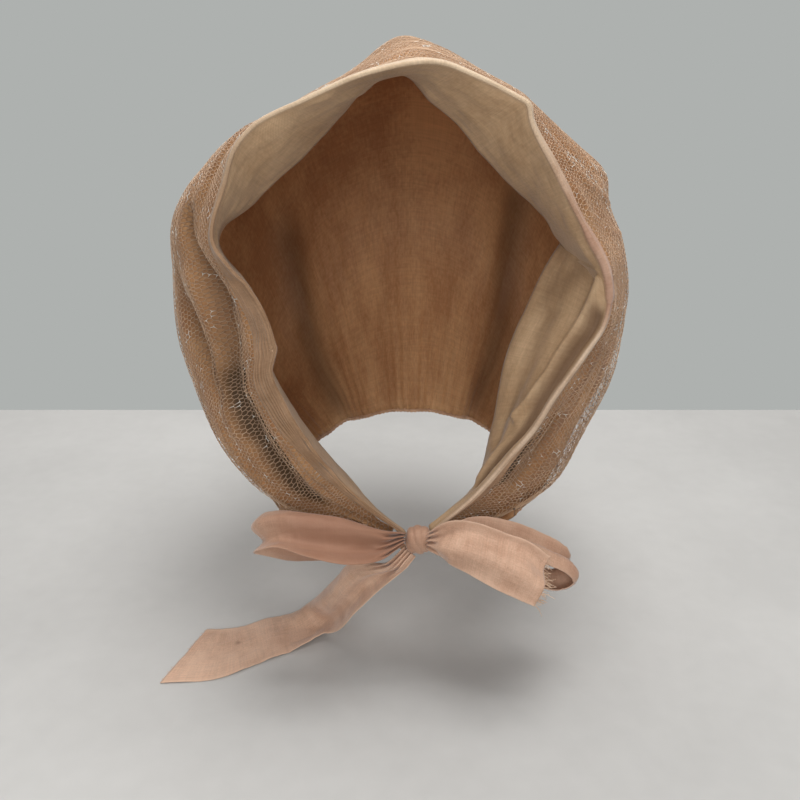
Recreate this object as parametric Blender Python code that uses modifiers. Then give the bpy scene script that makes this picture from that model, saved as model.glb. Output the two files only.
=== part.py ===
"""Net hair bonnet: gathered net cover, thin lining, folded face band and a ribbon bow.

Metres, +Z up. The face opening looks along -Y. The origin is at the top of the hollow for
the head, just under the lining of the crown, where the bonnet sits on the head.
"""
import bpy
import bmesh
import numpy as np

# Cloth walls and the air between them
NET_WALL = 0.0010
LINING_WALL = 0.0010
BAND_WALL = 0.0010
RIBBON_WALL = 0.0009
CLEARANCE = 0.0008

# Face band: bow of the wide inner flap, and the points of its fold and flap
BAND_FLAP_BOW = 0.0020
FOLD_TURN_ANGLES = (75.0, 0.0, -75.0)
FLAP_STEPS = (0.28, 0.62, 1.0)

# Lining: how far it lies inside the net, and how much more at the slack lower sides
LINING_INSET = 0.0022
LINING_SLACK = 0.0050
SLACK_ENDS = 0.80
LINING_FIRST_SHARE = 0.13
LINING_LAST_SHARE = 0.88
LINING_LAST_BACK = 0.985

# Rolled hem of the net along the neck
HEM_RADIUS = 0.0013
HEM_GAP = 0.0009
HEM_DROP = 0.7

# Gathers that the neck hem draws into the net
FLUTES = 10
FLUTE_HEIGHT = 0.0018
FLUTE_START = 0.72
FLUTE_FADE_SHARE = 0.083

# Knot of the bow
KNOT_CENTRE = (0.0016, -0.0806, -0.1955)
KNOT_HALF_SIZE = (0.0058, 0.0054, 0.0064)
KNOT_WRAPS = 3
KNOT_WRAP_DEPTH = 0.07
KNOT_WRAP_SLANT = 2.0

# Mesh fineness
COLUMN_LENGTH = 0.0190
NORMAL_STEP = 0.006
HEM_BEVEL_RESOLUTION = 1
KNOT_SEGMENTS = 16
KNOT_RINGS = 10
NET_BACKS = (0.0, 0.025, 0.055, 0.085, 0.12, 0.155, 0.19, 0.235, 0.30,
             0.38, 0.46, 0.56, 0.67, 0.79, 0.87, 0.94, 1.0)
LINING_BACKS = NET_BACKS[5:-1] + (LINING_LAST_BACK,)
RIBBON_ACROSS = 3
RIBBON_ROWS_PER_SECTION = 2

# The net's surface is a loft through five hoops, each running from the left end of the
# face edge over the head to the right end. A row is a section line of the bonnet.

# Face edge: share of the way round, x, y, z
FACE_EDGE = [
    (0.000, -0.0038, -0.0755, -0.1965),
    (0.050, -0.0246, -0.0700, -0.1820),
    (0.116, -0.0456, -0.0700, -0.1558),
    (0.148, -0.0537, -0.0700, -0.1409),
    (0.181, -0.0594, -0.0700, -0.1243),
    (0.200, -0.0576, -0.0710, -0.1153),
    (0.240, -0.0634, -0.0690, -0.0948),
    (0.270, -0.0735, -0.0660, -0.0830),
    (0.295, -0.0800, -0.0640, -0.0730),
    (0.343, -0.0732, -0.0660, -0.0488),
    (0.366, -0.0686, -0.0680, -0.0375),
    (0.387, -0.0617, -0.0680, -0.0298),
    (0.430, -0.0422, -0.0640, -0.0199),
    (0.484, -0.0156, -0.0600, -0.0096),
    (0.531, 0.0092, -0.0600, -0.0069),
    (0.557, 0.0218, -0.0610, -0.0113),
    (0.590, 0.0374, -0.0630, -0.0186),
    (0.600, 0.0419, -0.0640, -0.0210),
    (0.612, 0.0430, -0.0640, -0.0265),
    (0.649, 0.0527, -0.0640, -0.0442),
    (0.705, 0.0677, -0.0640, -0.0694),
    (0.737, 0.0761, -0.0640, -0.0840),
    (0.760, 0.0786, -0.0630, -0.0962),
    (0.778, 0.0772, -0.0640, -0.1053),
    (0.809, 0.0690, -0.0660, -0.1190),
    (0.849, 0.0574, -0.0680, -0.1366),
    (0.877, 0.0503, -0.0690, -0.1494),
    (0.908, 0.0407, -0.0690, -0.1622),
    (0.950, 0.0270, -0.0700, -0.1796),
    (1.000, 0.0071, -0.0755, -0.1955),
]

# Widest hoop over the sides and the front of the crown: share, x, y, z
SHOULDER = [
    (0.000, -0.0038, -0.0757, -0.1985),
    (0.050, -0.0330, -0.0690, -0.1930),
    (0.080, -0.0600, -0.0560, -0.1900),
    (0.116, -0.0790, -0.0450, -0.1800),
    (0.148, -0.0910, -0.0350, -0.1700),
    (0.190, -0.1050, -0.0200, -0.1450),
    (0.230, -0.1130, -0.0100, -0.1230),
    (0.270, -0.1160, 0.0000, -0.0950),
    (0.305, -0.1130, 0.0000, -0.0740),
    (0.343, -0.1040, 0.0000, -0.0570),
    (0.375, -0.0840, -0.0050, -0.0390),
    (0.430, -0.0550, 0.0000, -0.0225),
    (0.484, -0.0250, 0.0200, -0.0045),
    (0.515, -0.0050, 0.0320, 0.0075),
    (0.545, 0.0140, 0.0280, 0.0030),
    (0.576, 0.0320, 0.0100, -0.0085),
    (0.606, 0.0520, 0.0000, -0.0210),
    (0.640, 0.0760, 0.0000, -0.0400),
    (0.660, 0.0860, 0.0000, -0.0500),
    (0.690, 0.0910, 0.0000, -0.0650),
    (0.730, 0.0995, 0.0000, -0.0850),
    (0.760, 0.1030, 0.0000, -0.1040),
    (0.790, 0.1010, -0.0070, -0.1210),
    (0.840, 0.0925, -0.0220, -0.1470),
    (0.880, 0.0790, -0.0320, -0.1680),
    (0.920, 0.0650, -0.0450, -0.1840),
    (0.950, 0.0460, -0.0560, -0.1920),
    (1.000, 0.0071, -0.0757, -0.1975),
]

# Back of the crown and sides: share, x, y, z
REAR = [
    (0.00, -0.0038, -0.0757, -0.2000),
    (0.05, -0.0360, -0.0670, -0.1970),
    (0.10, -0.0700, -0.0400, -0.1930),
    (0.15, -0.0880, -0.0050, -0.1850),
    (0.20, -0.1030, 0.0250, -0.1600),
    (0.30, -0.1020, 0.0600, -0.0980),
    (0.40, -0.0680, 0.0820, -0.0380),
    (0.50, 0.0000, 0.0920, -0.0120),
    (0.60, 0.0600, 0.0820, -0.0380),
    (0.70, 0.0920, 0.0600, -0.0950),
    (0.80, 0.0940, 0.0300, -0.1550),
    (0.85, 0.0820, 0.0000, -0.1820),
    (0.90, 0.0660, -0.0350, -0.1910),
    (0.95, 0.0360, -0.0640, -0.1950),
    (1.00, 0.0071, -0.0757, -0.1990),
]

# Lowest full hoop, over the nape: share, x, y, z
NAPE = [
    (0.00, -0.0038, -0.0755, -0.2015),
    (0.05, -0.0350, -0.0670, -0.1990),
    (0.10, -0.0660, -0.0420, -0.1970),
    (0.15, -0.0760, -0.0100, -0.1930),
    (0.20, -0.0820, 0.0200, -0.1860),
    (0.30, -0.0780, 0.0700, -0.1560),
    (0.40, -0.0470, 0.1030, -0.1120),
    (0.50, 0.0000, 0.1140, -0.0950),
    (0.60, 0.0450, 0.1030, -0.1120),
    (0.70, 0.0740, 0.0700, -0.1540),
    (0.80, 0.0760, 0.0220, -0.1840),
    (0.85, 0.0710, -0.0080, -0.1920),
    (0.90, 0.0610, -0.0380, -0.1940),
    (0.95, 0.0350, -0.0640, -0.1965),
    (1.00, 0.0071, -0.0755, -0.2005),
]

# Neck edge: share, x, y, z
NECK_EDGE = [
    (0.00, -0.0038, -0.0750, -0.2030),
    (0.03, -0.0180, -0.0700, -0.2020),
    (0.06, -0.0400, -0.0630, -0.2015),
    (0.09, -0.0585, -0.0520, -0.2000),
    (0.12, -0.0630, -0.0350, -0.1985),
    (0.20, -0.0590, 0.0000, -0.1960),
    (0.30, -0.0460, 0.0350, -0.1920),
    (0.40, -0.0250, 0.0540, -0.1900),
    (0.50, 0.0000, 0.0600, -0.1890),
    (0.60, 0.0250, 0.0540, -0.1900),
    (0.70, 0.0450, 0.0350, -0.1920),
    (0.80, 0.0560, 0.0000, -0.1950),
    (0.88, 0.0540, -0.0350, -0.1960),
    (0.93, 0.0440, -0.0560, -0.1970),
    (0.97, 0.0250, -0.0670, -0.1980),
    (1.00, 0.0071, -0.0750, -0.2020),
]

# Place of each hoop along a section line, from the face edge back to the neck
HOOP_STOPS = (0.0, 0.30, 0.56, 0.79, 1.0)
HOOPS = (FACE_EDGE, SHOULDER, REAR, NAPE, NECK_EDGE)

# Free edge of the band's inner flap: share, x, y, z
FLAP_EDGE = [
    (0.000, -0.0048, -0.0695, -0.1970),
    (0.020, -0.0160, -0.0600, -0.1925),
    (0.050, -0.0290, -0.0480, -0.1830),
    (0.116, -0.0520, -0.0380, -0.1570),
    (0.181, -0.0680, -0.0370, -0.1240),
    (0.240, -0.0740, -0.0360, -0.0940),
    (0.280, -0.0840, -0.0330, -0.0800),
    (0.318, -0.0808, -0.0358, -0.0701),
    (0.343, -0.0691, -0.0358, -0.0610),
    (0.366, -0.0592, -0.0375, -0.0514),
    (0.387, -0.0465, -0.0390, -0.0418),
    (0.430, -0.0310, -0.0315, -0.0261),
    (0.484, -0.0153, -0.0282, -0.0108),
    (0.510, -0.0075, -0.0305, -0.0095),
    (0.531, -0.0017, -0.0302, -0.0118),
    (0.557, 0.0060, -0.0310, -0.0199),
    (0.590, 0.0195, -0.0355, -0.0307),
    (0.612, 0.0281, -0.0348, -0.0408),
    (0.649, 0.0420, -0.0325, -0.0545),
    (0.690, 0.0548, -0.0305, -0.0657),
    (0.722, 0.0648, -0.0312, -0.0758),
    (0.738, 0.0654, -0.0262, -0.0770),
    (0.760, 0.0575, -0.0300, -0.0885),
    (0.790, 0.0484, -0.0362, -0.1070),
    (0.815, 0.0423, -0.0378, -0.1226),
    (0.860, 0.0364, -0.0425, -0.1538),
    (0.920, 0.0311, -0.0460, -0.1796),
    (0.950, 0.0285, -0.0510, -0.1865),
    (0.980, 0.0200, -0.0610, -0.1910),
    (1.000, 0.0081, -0.0695, -0.1960),
]

# Slack of the net over the lining: share, part of LINING_SLACK
SLACK = [
    (0.00, 0.6),
    (0.10, 1.0),
    (0.20, 0.8),
    (0.32, 0.0),
    (0.68, 0.0),
    (0.80, 0.8),
    (0.90, 1.0),
    (1.00, 0.6),
]

# Folds of the net: name, height (grooves are negative), half width,
# then the (share, back) places that the fold passes
FOLDS = [
    ("left_face_groove", -0.0050, 0.0065,
     [(0.303, 0.108), (0.267, 0.078), (0.230, 0.085), (0.190, 0.112), (0.150, 0.118), (0.098, 0.150)]),
    ("left_outer_groove", -0.0030, 0.0070, [(0.262, 0.245), (0.233, 0.205), (0.208, 0.185)]),
    ("left_roll", 0.0030, 0.0060, [(0.262, 0.150), (0.228, 0.140), (0.195, 0.160), (0.150, 0.175)]),
    ("left_edge_roll", 0.0022, 0.0050, [(0.205, 0.030), (0.137, 0.045), (0.085, 0.055)]),
    ("crown_peak", 0.0018, 0.0140, [(0.505, 0.280), (0.512, 0.360)]),
    ("right_corner", 0.0030, 0.0090, [(0.662, 0.270), (0.668, 0.400), (0.680, 0.520)]),
    ("right_lower_groove", -0.0030, 0.0060, [(0.870, 0.100), (0.900, 0.110), (0.930, 0.130)]),
    ("back_left_groove", -0.0040, 0.0110, [(0.360, 0.700), (0.340, 0.860), (0.335, 0.960)]),
    ("back_right_groove", -0.0040, 0.0110, [(0.620, 0.660), (0.640, 0.840), (0.650, 0.960)]),
]

# Metres of cloth for the whole of each surface measure, used to judge how near a fold is
SHARE_LENGTH = 0.60
BACK_LENGTH = 0.25

# Ribbon sections from the knot outward: both edges, as x, y, z and x, y, z
LOOP_LEFT = [
    (-0.0048, -0.0815, -0.1915, -0.0048, -0.0830, -0.1960),
    (-0.0145, -0.0850, -0.1885, -0.0155, -0.0930, -0.1985),
    (-0.0310, -0.0865, -0.1820, -0.0285, -0.1000, -0.1965),
    (-0.0470, -0.0870, -0.1790, -0.0447, -0.1000, -0.1925),
    (-0.0545, -0.0860, -0.1785, -0.0550, -0.0985, -0.1895),
    (-0.0626, -0.0840, -0.1805, -0.0627, -0.0950, -0.1925),
    (-0.0664, -0.0810, -0.1844, -0.0661, -0.0890, -0.1970),
    (-0.0647, -0.0785, -0.1871, -0.0646, -0.0850, -0.2005),
    (-0.0564, -0.0775, -0.1872, -0.0545, -0.0830, -0.2047),
    (-0.0445, -0.0775, -0.1886, -0.0446, -0.0825, -0.2053),
    (-0.0299, -0.0780, -0.1920, -0.0300, -0.0820, -0.2045),
    (-0.0127, -0.0790, -0.1935, -0.0127, -0.0815, -0.2010),
    (-0.0050, -0.0787, -0.1945, -0.0050, -0.0797, -0.1985),
]
LOOP_RIGHT = [
    (0.0076, -0.0830, -0.1930, 0.0076, -0.0785, -0.1930),
    (0.0250, -0.0870, -0.1915, 0.0250, -0.0730, -0.1905),
    (0.0420, -0.0880, -0.1955, 0.0420, -0.0705, -0.1940),
    (0.0580, -0.0880, -0.2030, 0.0580, -0.0690, -0.2015),
    (0.0655, -0.0875, -0.2075, 0.0650, -0.0685, -0.2060),
    (0.0685, -0.0870, -0.2130, 0.0680, -0.0690, -0.2110),
    (0.0635, -0.0870, -0.2165, 0.0630, -0.0695, -0.2150),
    (0.0560, -0.0875, -0.2150, 0.0555, -0.0700, -0.2140),
    (0.0420, -0.0870, -0.2085, 0.0420, -0.0710, -0.2080),
    (0.0250, -0.0855, -0.2020, 0.0250, -0.0735, -0.2020),
    (0.0076, -0.0830, -0.1970, 0.0076, -0.0790, -0.1970),
]
TAIL_LEFT = [
    (-0.0040, -0.0800, -0.1995, 0.0000, -0.0840, -0.2015),
    (-0.0127, -0.0815, -0.2065, -0.0055, -0.0865, -0.2075),
    (-0.0287, -0.0700, -0.2141, -0.0151, -0.0800, -0.2210),
    (-0.0365, -0.0610, -0.2271, -0.0253, -0.0730, -0.2370),
    (-0.0445, -0.0480, -0.2432, -0.0325, -0.0640, -0.2521),
    (-0.0530, -0.0330, -0.2600, -0.0405, -0.0560, -0.2620),
    (-0.0619, -0.0350, -0.2652, -0.0525, -0.0620, -0.2652),
    (-0.0738, -0.0386, -0.2652, -0.0652, -0.0687, -0.2652),
    (-0.0845, -0.0450, -0.2652, -0.0750, -0.0750, -0.2652),
    (-0.0929, -0.0472, -0.2652, -0.0905, -0.0840, -0.2652),
    (-0.1022, -0.0479, -0.2652, -0.1143, -0.0867, -0.2652),
]
TAIL_RIGHT = [
    (0.0056, -0.0845, -0.1900, 0.0060, -0.0852, -0.1970),
    (0.0140, -0.0885, -0.1824, 0.0127, -0.0950, -0.1985),
    (0.0249, -0.0900, -0.1822, 0.0209, -0.1000, -0.2000),
    (0.0388, -0.0915, -0.1867, 0.0327, -0.1045, -0.2045),
    (0.0471, -0.0925, -0.1896, 0.0405, -0.1070, -0.2068),
    (0.0555, -0.0925, -0.1968, 0.0485, -0.1080, -0.2099),
]

# Colours: red, green, blue in linear light, roughness
NET_COLOUR = (0.42, 0.25, 0.16, 0.60)
LINING_COLOUR = (0.50, 0.31, 0.20, 0.45)
BAND_COLOUR = (0.46, 0.34, 0.24, 0.55)
HEM_COLOUR = (0.36, 0.21, 0.14, 0.65)
RIBBON_COLOUR = (0.62, 0.37, 0.28, 0.40)


def clear_scene():
    for item in list(bpy.data.objects):
        bpy.data.objects.remove(item, do_unlink=True)


def smooth(stops, values, at):
    """Smooth curve through the values at the stops, read at each place in at."""
    stops = np.asarray(stops, float)
    values = np.asarray(values, float)
    slopes = np.gradient(values, stops, axis=0)
    at = np.clip(np.asarray(at, float), stops[0], stops[-1])
    low = np.clip(np.searchsorted(stops, at, side="right") - 1, 0, len(stops) - 2)
    here = (low,) if values.ndim == 2 else (low, np.arange(len(low)))
    beyond = (low + 1,) + here[1:]
    gap = (stops[low + 1] - stops[low])[:, None]
    t = (at - stops[low])[:, None] / gap
    start = (2 * t ** 3 - 3 * t ** 2 + 1) * values[here] + (t ** 3 - 2 * t ** 2 + t) * gap * slopes[here]
    end = (3 * t ** 2 - 2 * t ** 3) * values[beyond] + (t ** 3 - t ** 2) * gap * slopes[beyond]
    return start + end


def read_table(rows, share):
    """Smooth curve through table rows whose first column is the share."""
    rows = np.asarray(rows, float)
    return smooth(rows[:, 0], rows[:, 1:], share)


def unit(vectors):
    return vectors / np.maximum(np.linalg.norm(vectors, axis=-1, keepdims=True), 1e-9)


def ease(value):
    value = np.clip(value, 0.0, 1.0)
    return value * value * (3 - 2 * value)


def plain_surface(share, back):
    """The net's outer face before its folds."""
    hoops = np.array([read_table(rows, share) for rows in HOOPS])
    return smooth(HOOP_STOPS, hoops, back)


def surface_normal(share, back):
    """Outward direction of the plain surface."""
    over = (plain_surface(np.minimum(share + NORMAL_STEP, 1.0), back)
            - plain_surface(np.maximum(share - NORMAL_STEP, 0.0), back))
    rearward = (plain_surface(share, np.minimum(back + NORMAL_STEP, 1.0))
                - plain_surface(share, np.maximum(back - NORMAL_STEP, 0.0)))
    return unit(np.cross(over, rearward))


def fold_height(share, back):
    """Height of all folds and neck gathers above the plain surface."""
    place = np.stack([share * SHARE_LENGTH, back * BACK_LENGTH], axis=1)
    total = np.zeros(len(share))
    for _, height, half_width, route in FOLDS:
        route = np.array(route) * (SHARE_LENGTH, BACK_LENGTH)
        nearest = np.full(len(share), np.inf)
        for first, last in zip(route[:-1], route[1:]):
            run = last - first
            along = np.clip((place - first) @ run / (run @ run), 0.0, 1.0)
            nearest = np.minimum(nearest, np.linalg.norm(place - first - along[:, None] * run, axis=1))
        total += height * np.exp(-(nearest / half_width) ** 2)
    ends = ease(share / FLUTE_FADE_SHARE) * ease((1.0 - share) / FLUTE_FADE_SHARE)
    gather = ease((back - FLUTE_START) / (1.0 - FLUTE_START)) * ends
    return total + FLUTE_HEIGHT * gather * np.cos(2 * np.pi * FLUTES * share)


def skin(share, back, inset=0.0):
    """Point of the folded surface, moved in from the net's outer face by the inset."""
    share = np.asarray(share, float)
    back = np.asarray(back, float)
    lift = fold_height(share, back) - inset
    return plain_surface(share, back) + surface_normal(share, back) * lift[:, None]


def section_shares():
    """Shares of the section lines: every row of the face edge, and some between long gaps."""
    shares = []
    table = [row[0] for row in FACE_EDGE]
    for first, last in zip(table[:-1], table[1:]):
        count = int(np.ceil((last - first) / COLUMN_LENGTH))
        shares += list(np.linspace(first, last, count, endpoint=False))
    return np.array(shares + [1.0])


def material(name, colour):
    red, green, blue, roughness = colour
    made = bpy.data.materials.new(name)
    made.use_nodes = True
    shader = made.node_tree.nodes["Principled BSDF"]
    shader.inputs["Base Color"].default_value = (red, green, blue, 1.0)
    shader.inputs["Roughness"].default_value = roughness
    shader.inputs["Metallic"].default_value = 0.0
    made.diffuse_color = (red, green, blue, 1.0)
    return made


def add_sheet(name, rows, wall, offset, cloth, collection):
    """Open sheet through rows of points, thickened to a closed cloth wall."""
    rows = np.asarray(rows)
    count, across = rows.shape[:2]
    faces = []
    for row in range(count - 1):
        for column in range(across - 1):
            corner = row * across + column
            faces.append((corner, corner + 1, corner + across + 1, corner + across))
    mesh = bpy.data.meshes.new(name)
    mesh.from_pydata(rows.reshape(-1, 3).tolist(), [], faces)
    mesh.shade_smooth()
    sheet = bpy.data.objects.new(name, mesh)
    sheet.data.materials.append(cloth)
    collection.objects.link(sheet)
    wall_maker = sheet.modifiers.new("wall", "SOLIDIFY")
    wall_maker.thickness = wall
    wall_maker.offset = offset
    wall_maker.use_even_offset = True
    return sheet


def add_net_cover(collection):
    shares = section_shares()
    rows = [skin(shares, np.full(len(shares), back)) for back in NET_BACKS]
    return add_sheet("net_cover", rows, NET_WALL, -1.0, material("net", NET_COLOUR), collection)


def add_lining(collection):
    table = section_shares()
    shares = table[(table >= LINING_FIRST_SHARE) & (table <= LINING_LAST_SHARE)]
    slack = np.interp(shares, *zip(*SLACK))
    rows = []
    for back in LINING_BACKS:
        looseness = np.sin(np.pi * min(back / SLACK_ENDS, 1.0))
        inset = LINING_INSET + LINING_SLACK * slack * looseness
        rows.append(skin(shares, np.full(len(shares), back), inset))
    return add_sheet("lining", rows, LINING_WALL, -1.0, material("lining", LINING_COLOUR), collection)


def add_face_band(collection):
    """Strip folded over the face edge: short leg outside, wide flap inside."""
    shares = section_shares()
    zero = np.zeros(len(shares))
    edge = skin(shares, zero)
    outward = surface_normal(shares, zero)
    leg_end = np.full(len(shares), NET_BACKS[1])
    rearward = unit(skin(shares, leg_end) - edge)
    lift = CLEARANCE + BAND_WALL / 2
    turn_radius = NET_WALL / 2 + lift
    middle = edge - outward * (NET_WALL / 2)

    rows = [skin(shares, leg_end, -lift)]
    for angle in np.radians(FOLD_TURN_ANGLES):
        rows.append(middle + turn_radius * (outward * np.sin(angle) - rearward * np.cos(angle)))
    start = rows[-1]
    free = read_table(FLAP_EDGE, shares)
    span = free - start
    bow = unit(np.cross(np.gradient(free, axis=0), span))
    for step in FLAP_STEPS:
        rows.append(start + span * step - bow * BAND_FLAP_BOW * np.sin(np.pi * step))
    return add_sheet("face_band", rows[::-1], BAND_WALL, 0.0, material("band", BAND_COLOUR), collection)


def add_neck_hem(collection):
    """Rolled hem that runs round the neck along the net's lower edge."""
    shares = section_shares()
    below = np.ones(len(shares))
    edge = skin(shares, below, NET_WALL / 2)
    away = unit(np.cross(surface_normal(shares, below), np.gradient(edge, axis=0)))
    away = unit(away + (0.0, 0.0, -HEM_DROP))
    route = edge + away * (HEM_RADIUS + HEM_GAP)
    curve = bpy.data.curves.new("neck_hem", "CURVE")
    curve.dimensions = "3D"
    curve.bevel_depth = HEM_RADIUS
    curve.bevel_resolution = HEM_BEVEL_RESOLUTION
    curve.use_fill_caps = True
    line = curve.splines.new("POLY")
    line.points.add(len(route) - 1)
    for point, place in zip(line.points, route):
        point.co = (*place, 1.0)
    curve.materials.append(material("hem", HEM_COLOUR))
    hem = bpy.data.objects.new("neck_hem", curve)
    collection.objects.link(hem)
    return hem


def add_ribbon(name, sections, cloth, collection):
    """Strip of ribbon lofted between its two edges."""
    sections = np.array(sections)
    count = (len(sections) - 1) * RIBBON_ROWS_PER_SECTION + 1
    places = np.linspace(0, len(sections) - 1, count)
    edges = smooth(np.arange(len(sections)), sections, places)
    rows = [edges[:, :3] + (edges[:, 3:] - edges[:, :3]) * step
            for step in np.linspace(0.0, 1.0, RIBBON_ACROSS + 1)]
    return add_sheet(name, rows, RIBBON_WALL, 0.0, cloth, collection)


def add_knot(cloth, collection):
    """Tight knot: a rounded form with the ribbon's turns pressed into it."""
    mesh = bpy.data.meshes.new("bow_knot")
    shape = bmesh.new()
    bmesh.ops.create_uvsphere(shape, u_segments=KNOT_SEGMENTS, v_segments=KNOT_RINGS, radius=1.0)
    for vertex in shape.verts:
        turn = np.arctan2(vertex.co.z, vertex.co.y)
        swell = 1.0 + KNOT_WRAP_DEPTH * np.sin(KNOT_WRAPS * turn + KNOT_WRAP_SLANT * vertex.co.x)
        vertex.co = [c + half * swell * v for c, half, v in zip(KNOT_CENTRE, KNOT_HALF_SIZE, vertex.co)]
    shape.to_mesh(mesh)
    shape.free()
    mesh.shade_smooth()
    mesh.materials.append(cloth)
    knot = bpy.data.objects.new("bow_knot", mesh)
    collection.objects.link(knot)
    return knot


def main():
    clear_scene()
    collection = bpy.data.collections.new("hair_bonnet")
    bpy.context.scene.collection.children.link(collection)
    add_net_cover(collection)
    add_lining(collection)
    add_face_band(collection)
    add_neck_hem(collection)
    ribbon = material("ribbon", RIBBON_COLOUR)
    add_knot(ribbon, collection)
    add_ribbon("bow_loop_left", LOOP_LEFT, ribbon, collection)
    add_ribbon("bow_loop_right", LOOP_RIGHT, ribbon, collection)
    add_ribbon("bow_tail_left", TAIL_LEFT, ribbon, collection)
    add_ribbon("bow_tail_right", TAIL_RIGHT, ribbon, collection)


main()
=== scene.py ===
"""Looks of the net hair bonnet: hexagonal net, silk lining, folded band and ribbon bow."""
import math

import bmesh
import bpy
import numpy as np
from mathutils import Euler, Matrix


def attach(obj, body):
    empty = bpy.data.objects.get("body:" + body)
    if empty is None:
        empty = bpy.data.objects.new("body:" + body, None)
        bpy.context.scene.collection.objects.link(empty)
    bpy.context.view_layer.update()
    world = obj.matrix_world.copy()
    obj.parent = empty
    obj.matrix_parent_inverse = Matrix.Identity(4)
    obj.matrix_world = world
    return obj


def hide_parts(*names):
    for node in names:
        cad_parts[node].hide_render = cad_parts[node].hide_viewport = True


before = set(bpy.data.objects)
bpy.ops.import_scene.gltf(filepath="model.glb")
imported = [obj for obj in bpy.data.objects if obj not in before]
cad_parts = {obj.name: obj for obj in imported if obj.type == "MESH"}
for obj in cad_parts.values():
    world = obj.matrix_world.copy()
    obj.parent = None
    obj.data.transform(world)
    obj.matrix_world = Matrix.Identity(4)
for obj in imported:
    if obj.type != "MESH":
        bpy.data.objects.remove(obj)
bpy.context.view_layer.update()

# Camera: place, downward tilt in degrees, and the lens in pixels on an 800 pixel image
CAMERA_PLACE = (-0.0063, -0.3750, -0.0250)
CAMERA_TILT = 20.0
CAMERA_FOCAL_PIXELS = 785.0
IMAGE_PIXELS = 800.0
SENSOR = 36.0

# Table top and its back edge
FLOOR_HEIGHT = -0.266
FLOOR_BACK_EDGE = 0.262
FLOOR_HALF_WIDTH = 1.6
FLOOR_FRONT = -1.6
FLOOR_THICKNESS = 0.02

# Net: cell width across its flats, thread, and the hoop that gives the cloth's width
CELL = 0.00240
THREAD_HALF_WIDTH = 0.00020
THREAD_HALF_HEIGHT = 0.00010
NET_WIDEST_BACK = 0.34
NET_DEPTH = 0.00045
NET_SPLITS = (0.0, 0.31, 0.50, 0.69, 1.0)
NET_NAMES = ("net_left", "net_crown_left", "net_crown_right", "net_right")
LENGTH_SHARES = 240
LENGTH_BACKS = 160
NET_SEED = 5
NET_JITTER = 0.00022
NET_WANDER = 0.0010
NET_WANDER_LENGTH = 0.5
NET_EDGE_CELLS = 2
THREAD_UNEVENNESS = 0.18

# Lining
LINING_FRONT_INSET = 0.00050
LINING_INSET = 0.00055
LINING_SLACK = 0.0046
LINING_WALL = 0.00025
LINING_ACROSS = 270
LINING_ROWS = 108
SLACK_ENDS = 0.80
LINING_EASE = 0.12
LINING_RUMPLE = 0.00025
LINING_ROW_CROWDING = 1.35

# Face band
BAND_WALL = 0.00035
BAND_CLEARANCE = 0.00022
BAND_RIM_INSET = 0.0003
BAND_COLUMNS_PER_SHARE = 400
BAND_FLAP_ROWS = 34
BAND_TURN_ROWS = 7
BAND_LEG_ROWS = 40
BAND_LEG_END = 0.06
BAND_TURN_ANGLES = (72, -78)
BAND_UNEVENNESS = 0.10
FLAP_RUMPLE = 0.00038
STITCH = 0.0019
STITCH_GAP = 0.0014
STITCH_RADIUS = 0.00013
STITCH_DIP = (-0.8, 0.5, 0.9, 0.5, -0.8)
STITCH_SKIPPED_COLUMNS = 6

# Spacing of the fine lengthwise lines on the band's gathered outer strip
BAND_LINE_PITCH = 0.0011
PALE_RIM_WIDTH = 0.0009

# Rolled hem of the net
HEM_RADIUS = 0.0011
HEM_SEAT = 0.0004
HEM_DROP = 0.7
HEM_POINTS = 520
HEM_SIDES = 12
HEM_TWISTS = 120
HEM_TWIST_DEPTH = 0.16
HEM_LUMPS = 0.12
HEM_WAVE = 0.00030

# Ribbon
RIBBON_WIDTH = 0.030
RIBBON_WALL = 0.00028
RIBBON_ROWS = 42
PLEAT_DEPTH_LIMIT = 0.0024
SOFT_PLEATS = 1.2
KNOT_PLEATS = 4
RIBBON_MARK = (-0.0846, -0.0586, -0.2652)
RIBBON_MARK_SIZE = 0.0012
RIBBON_STEPS_PER_SECTION = 15
RIBBON_EDGE_WAVE = 0.00035
RIBBON_KNOT_WIDTH = 0.016
RIBBON_KNOT_FADE = 0.009
FRAY_RADIUS = 0.00009
FRAY_ROOT = 0.0006

# Gathers that the neck hem draws into the net
FLUTES = 10
FLUTE_HEIGHT = 0.0018
FLUTE_START = 0.72
FLUTE_FADE_SHARE = 0.083
NORMAL_STEP = 0.006
NECK_PLEATS = 64
NECK_PLEAT_DEPTH = 0.00055
GATHER_START = 0.62
NET_FRONT_EASE = 0.03
GATHER_LINE_DEPTH = 0.00052

# The net's surface is a loft through five hoops, each running from the left end of the
# face edge over the crown to the right end

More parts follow.
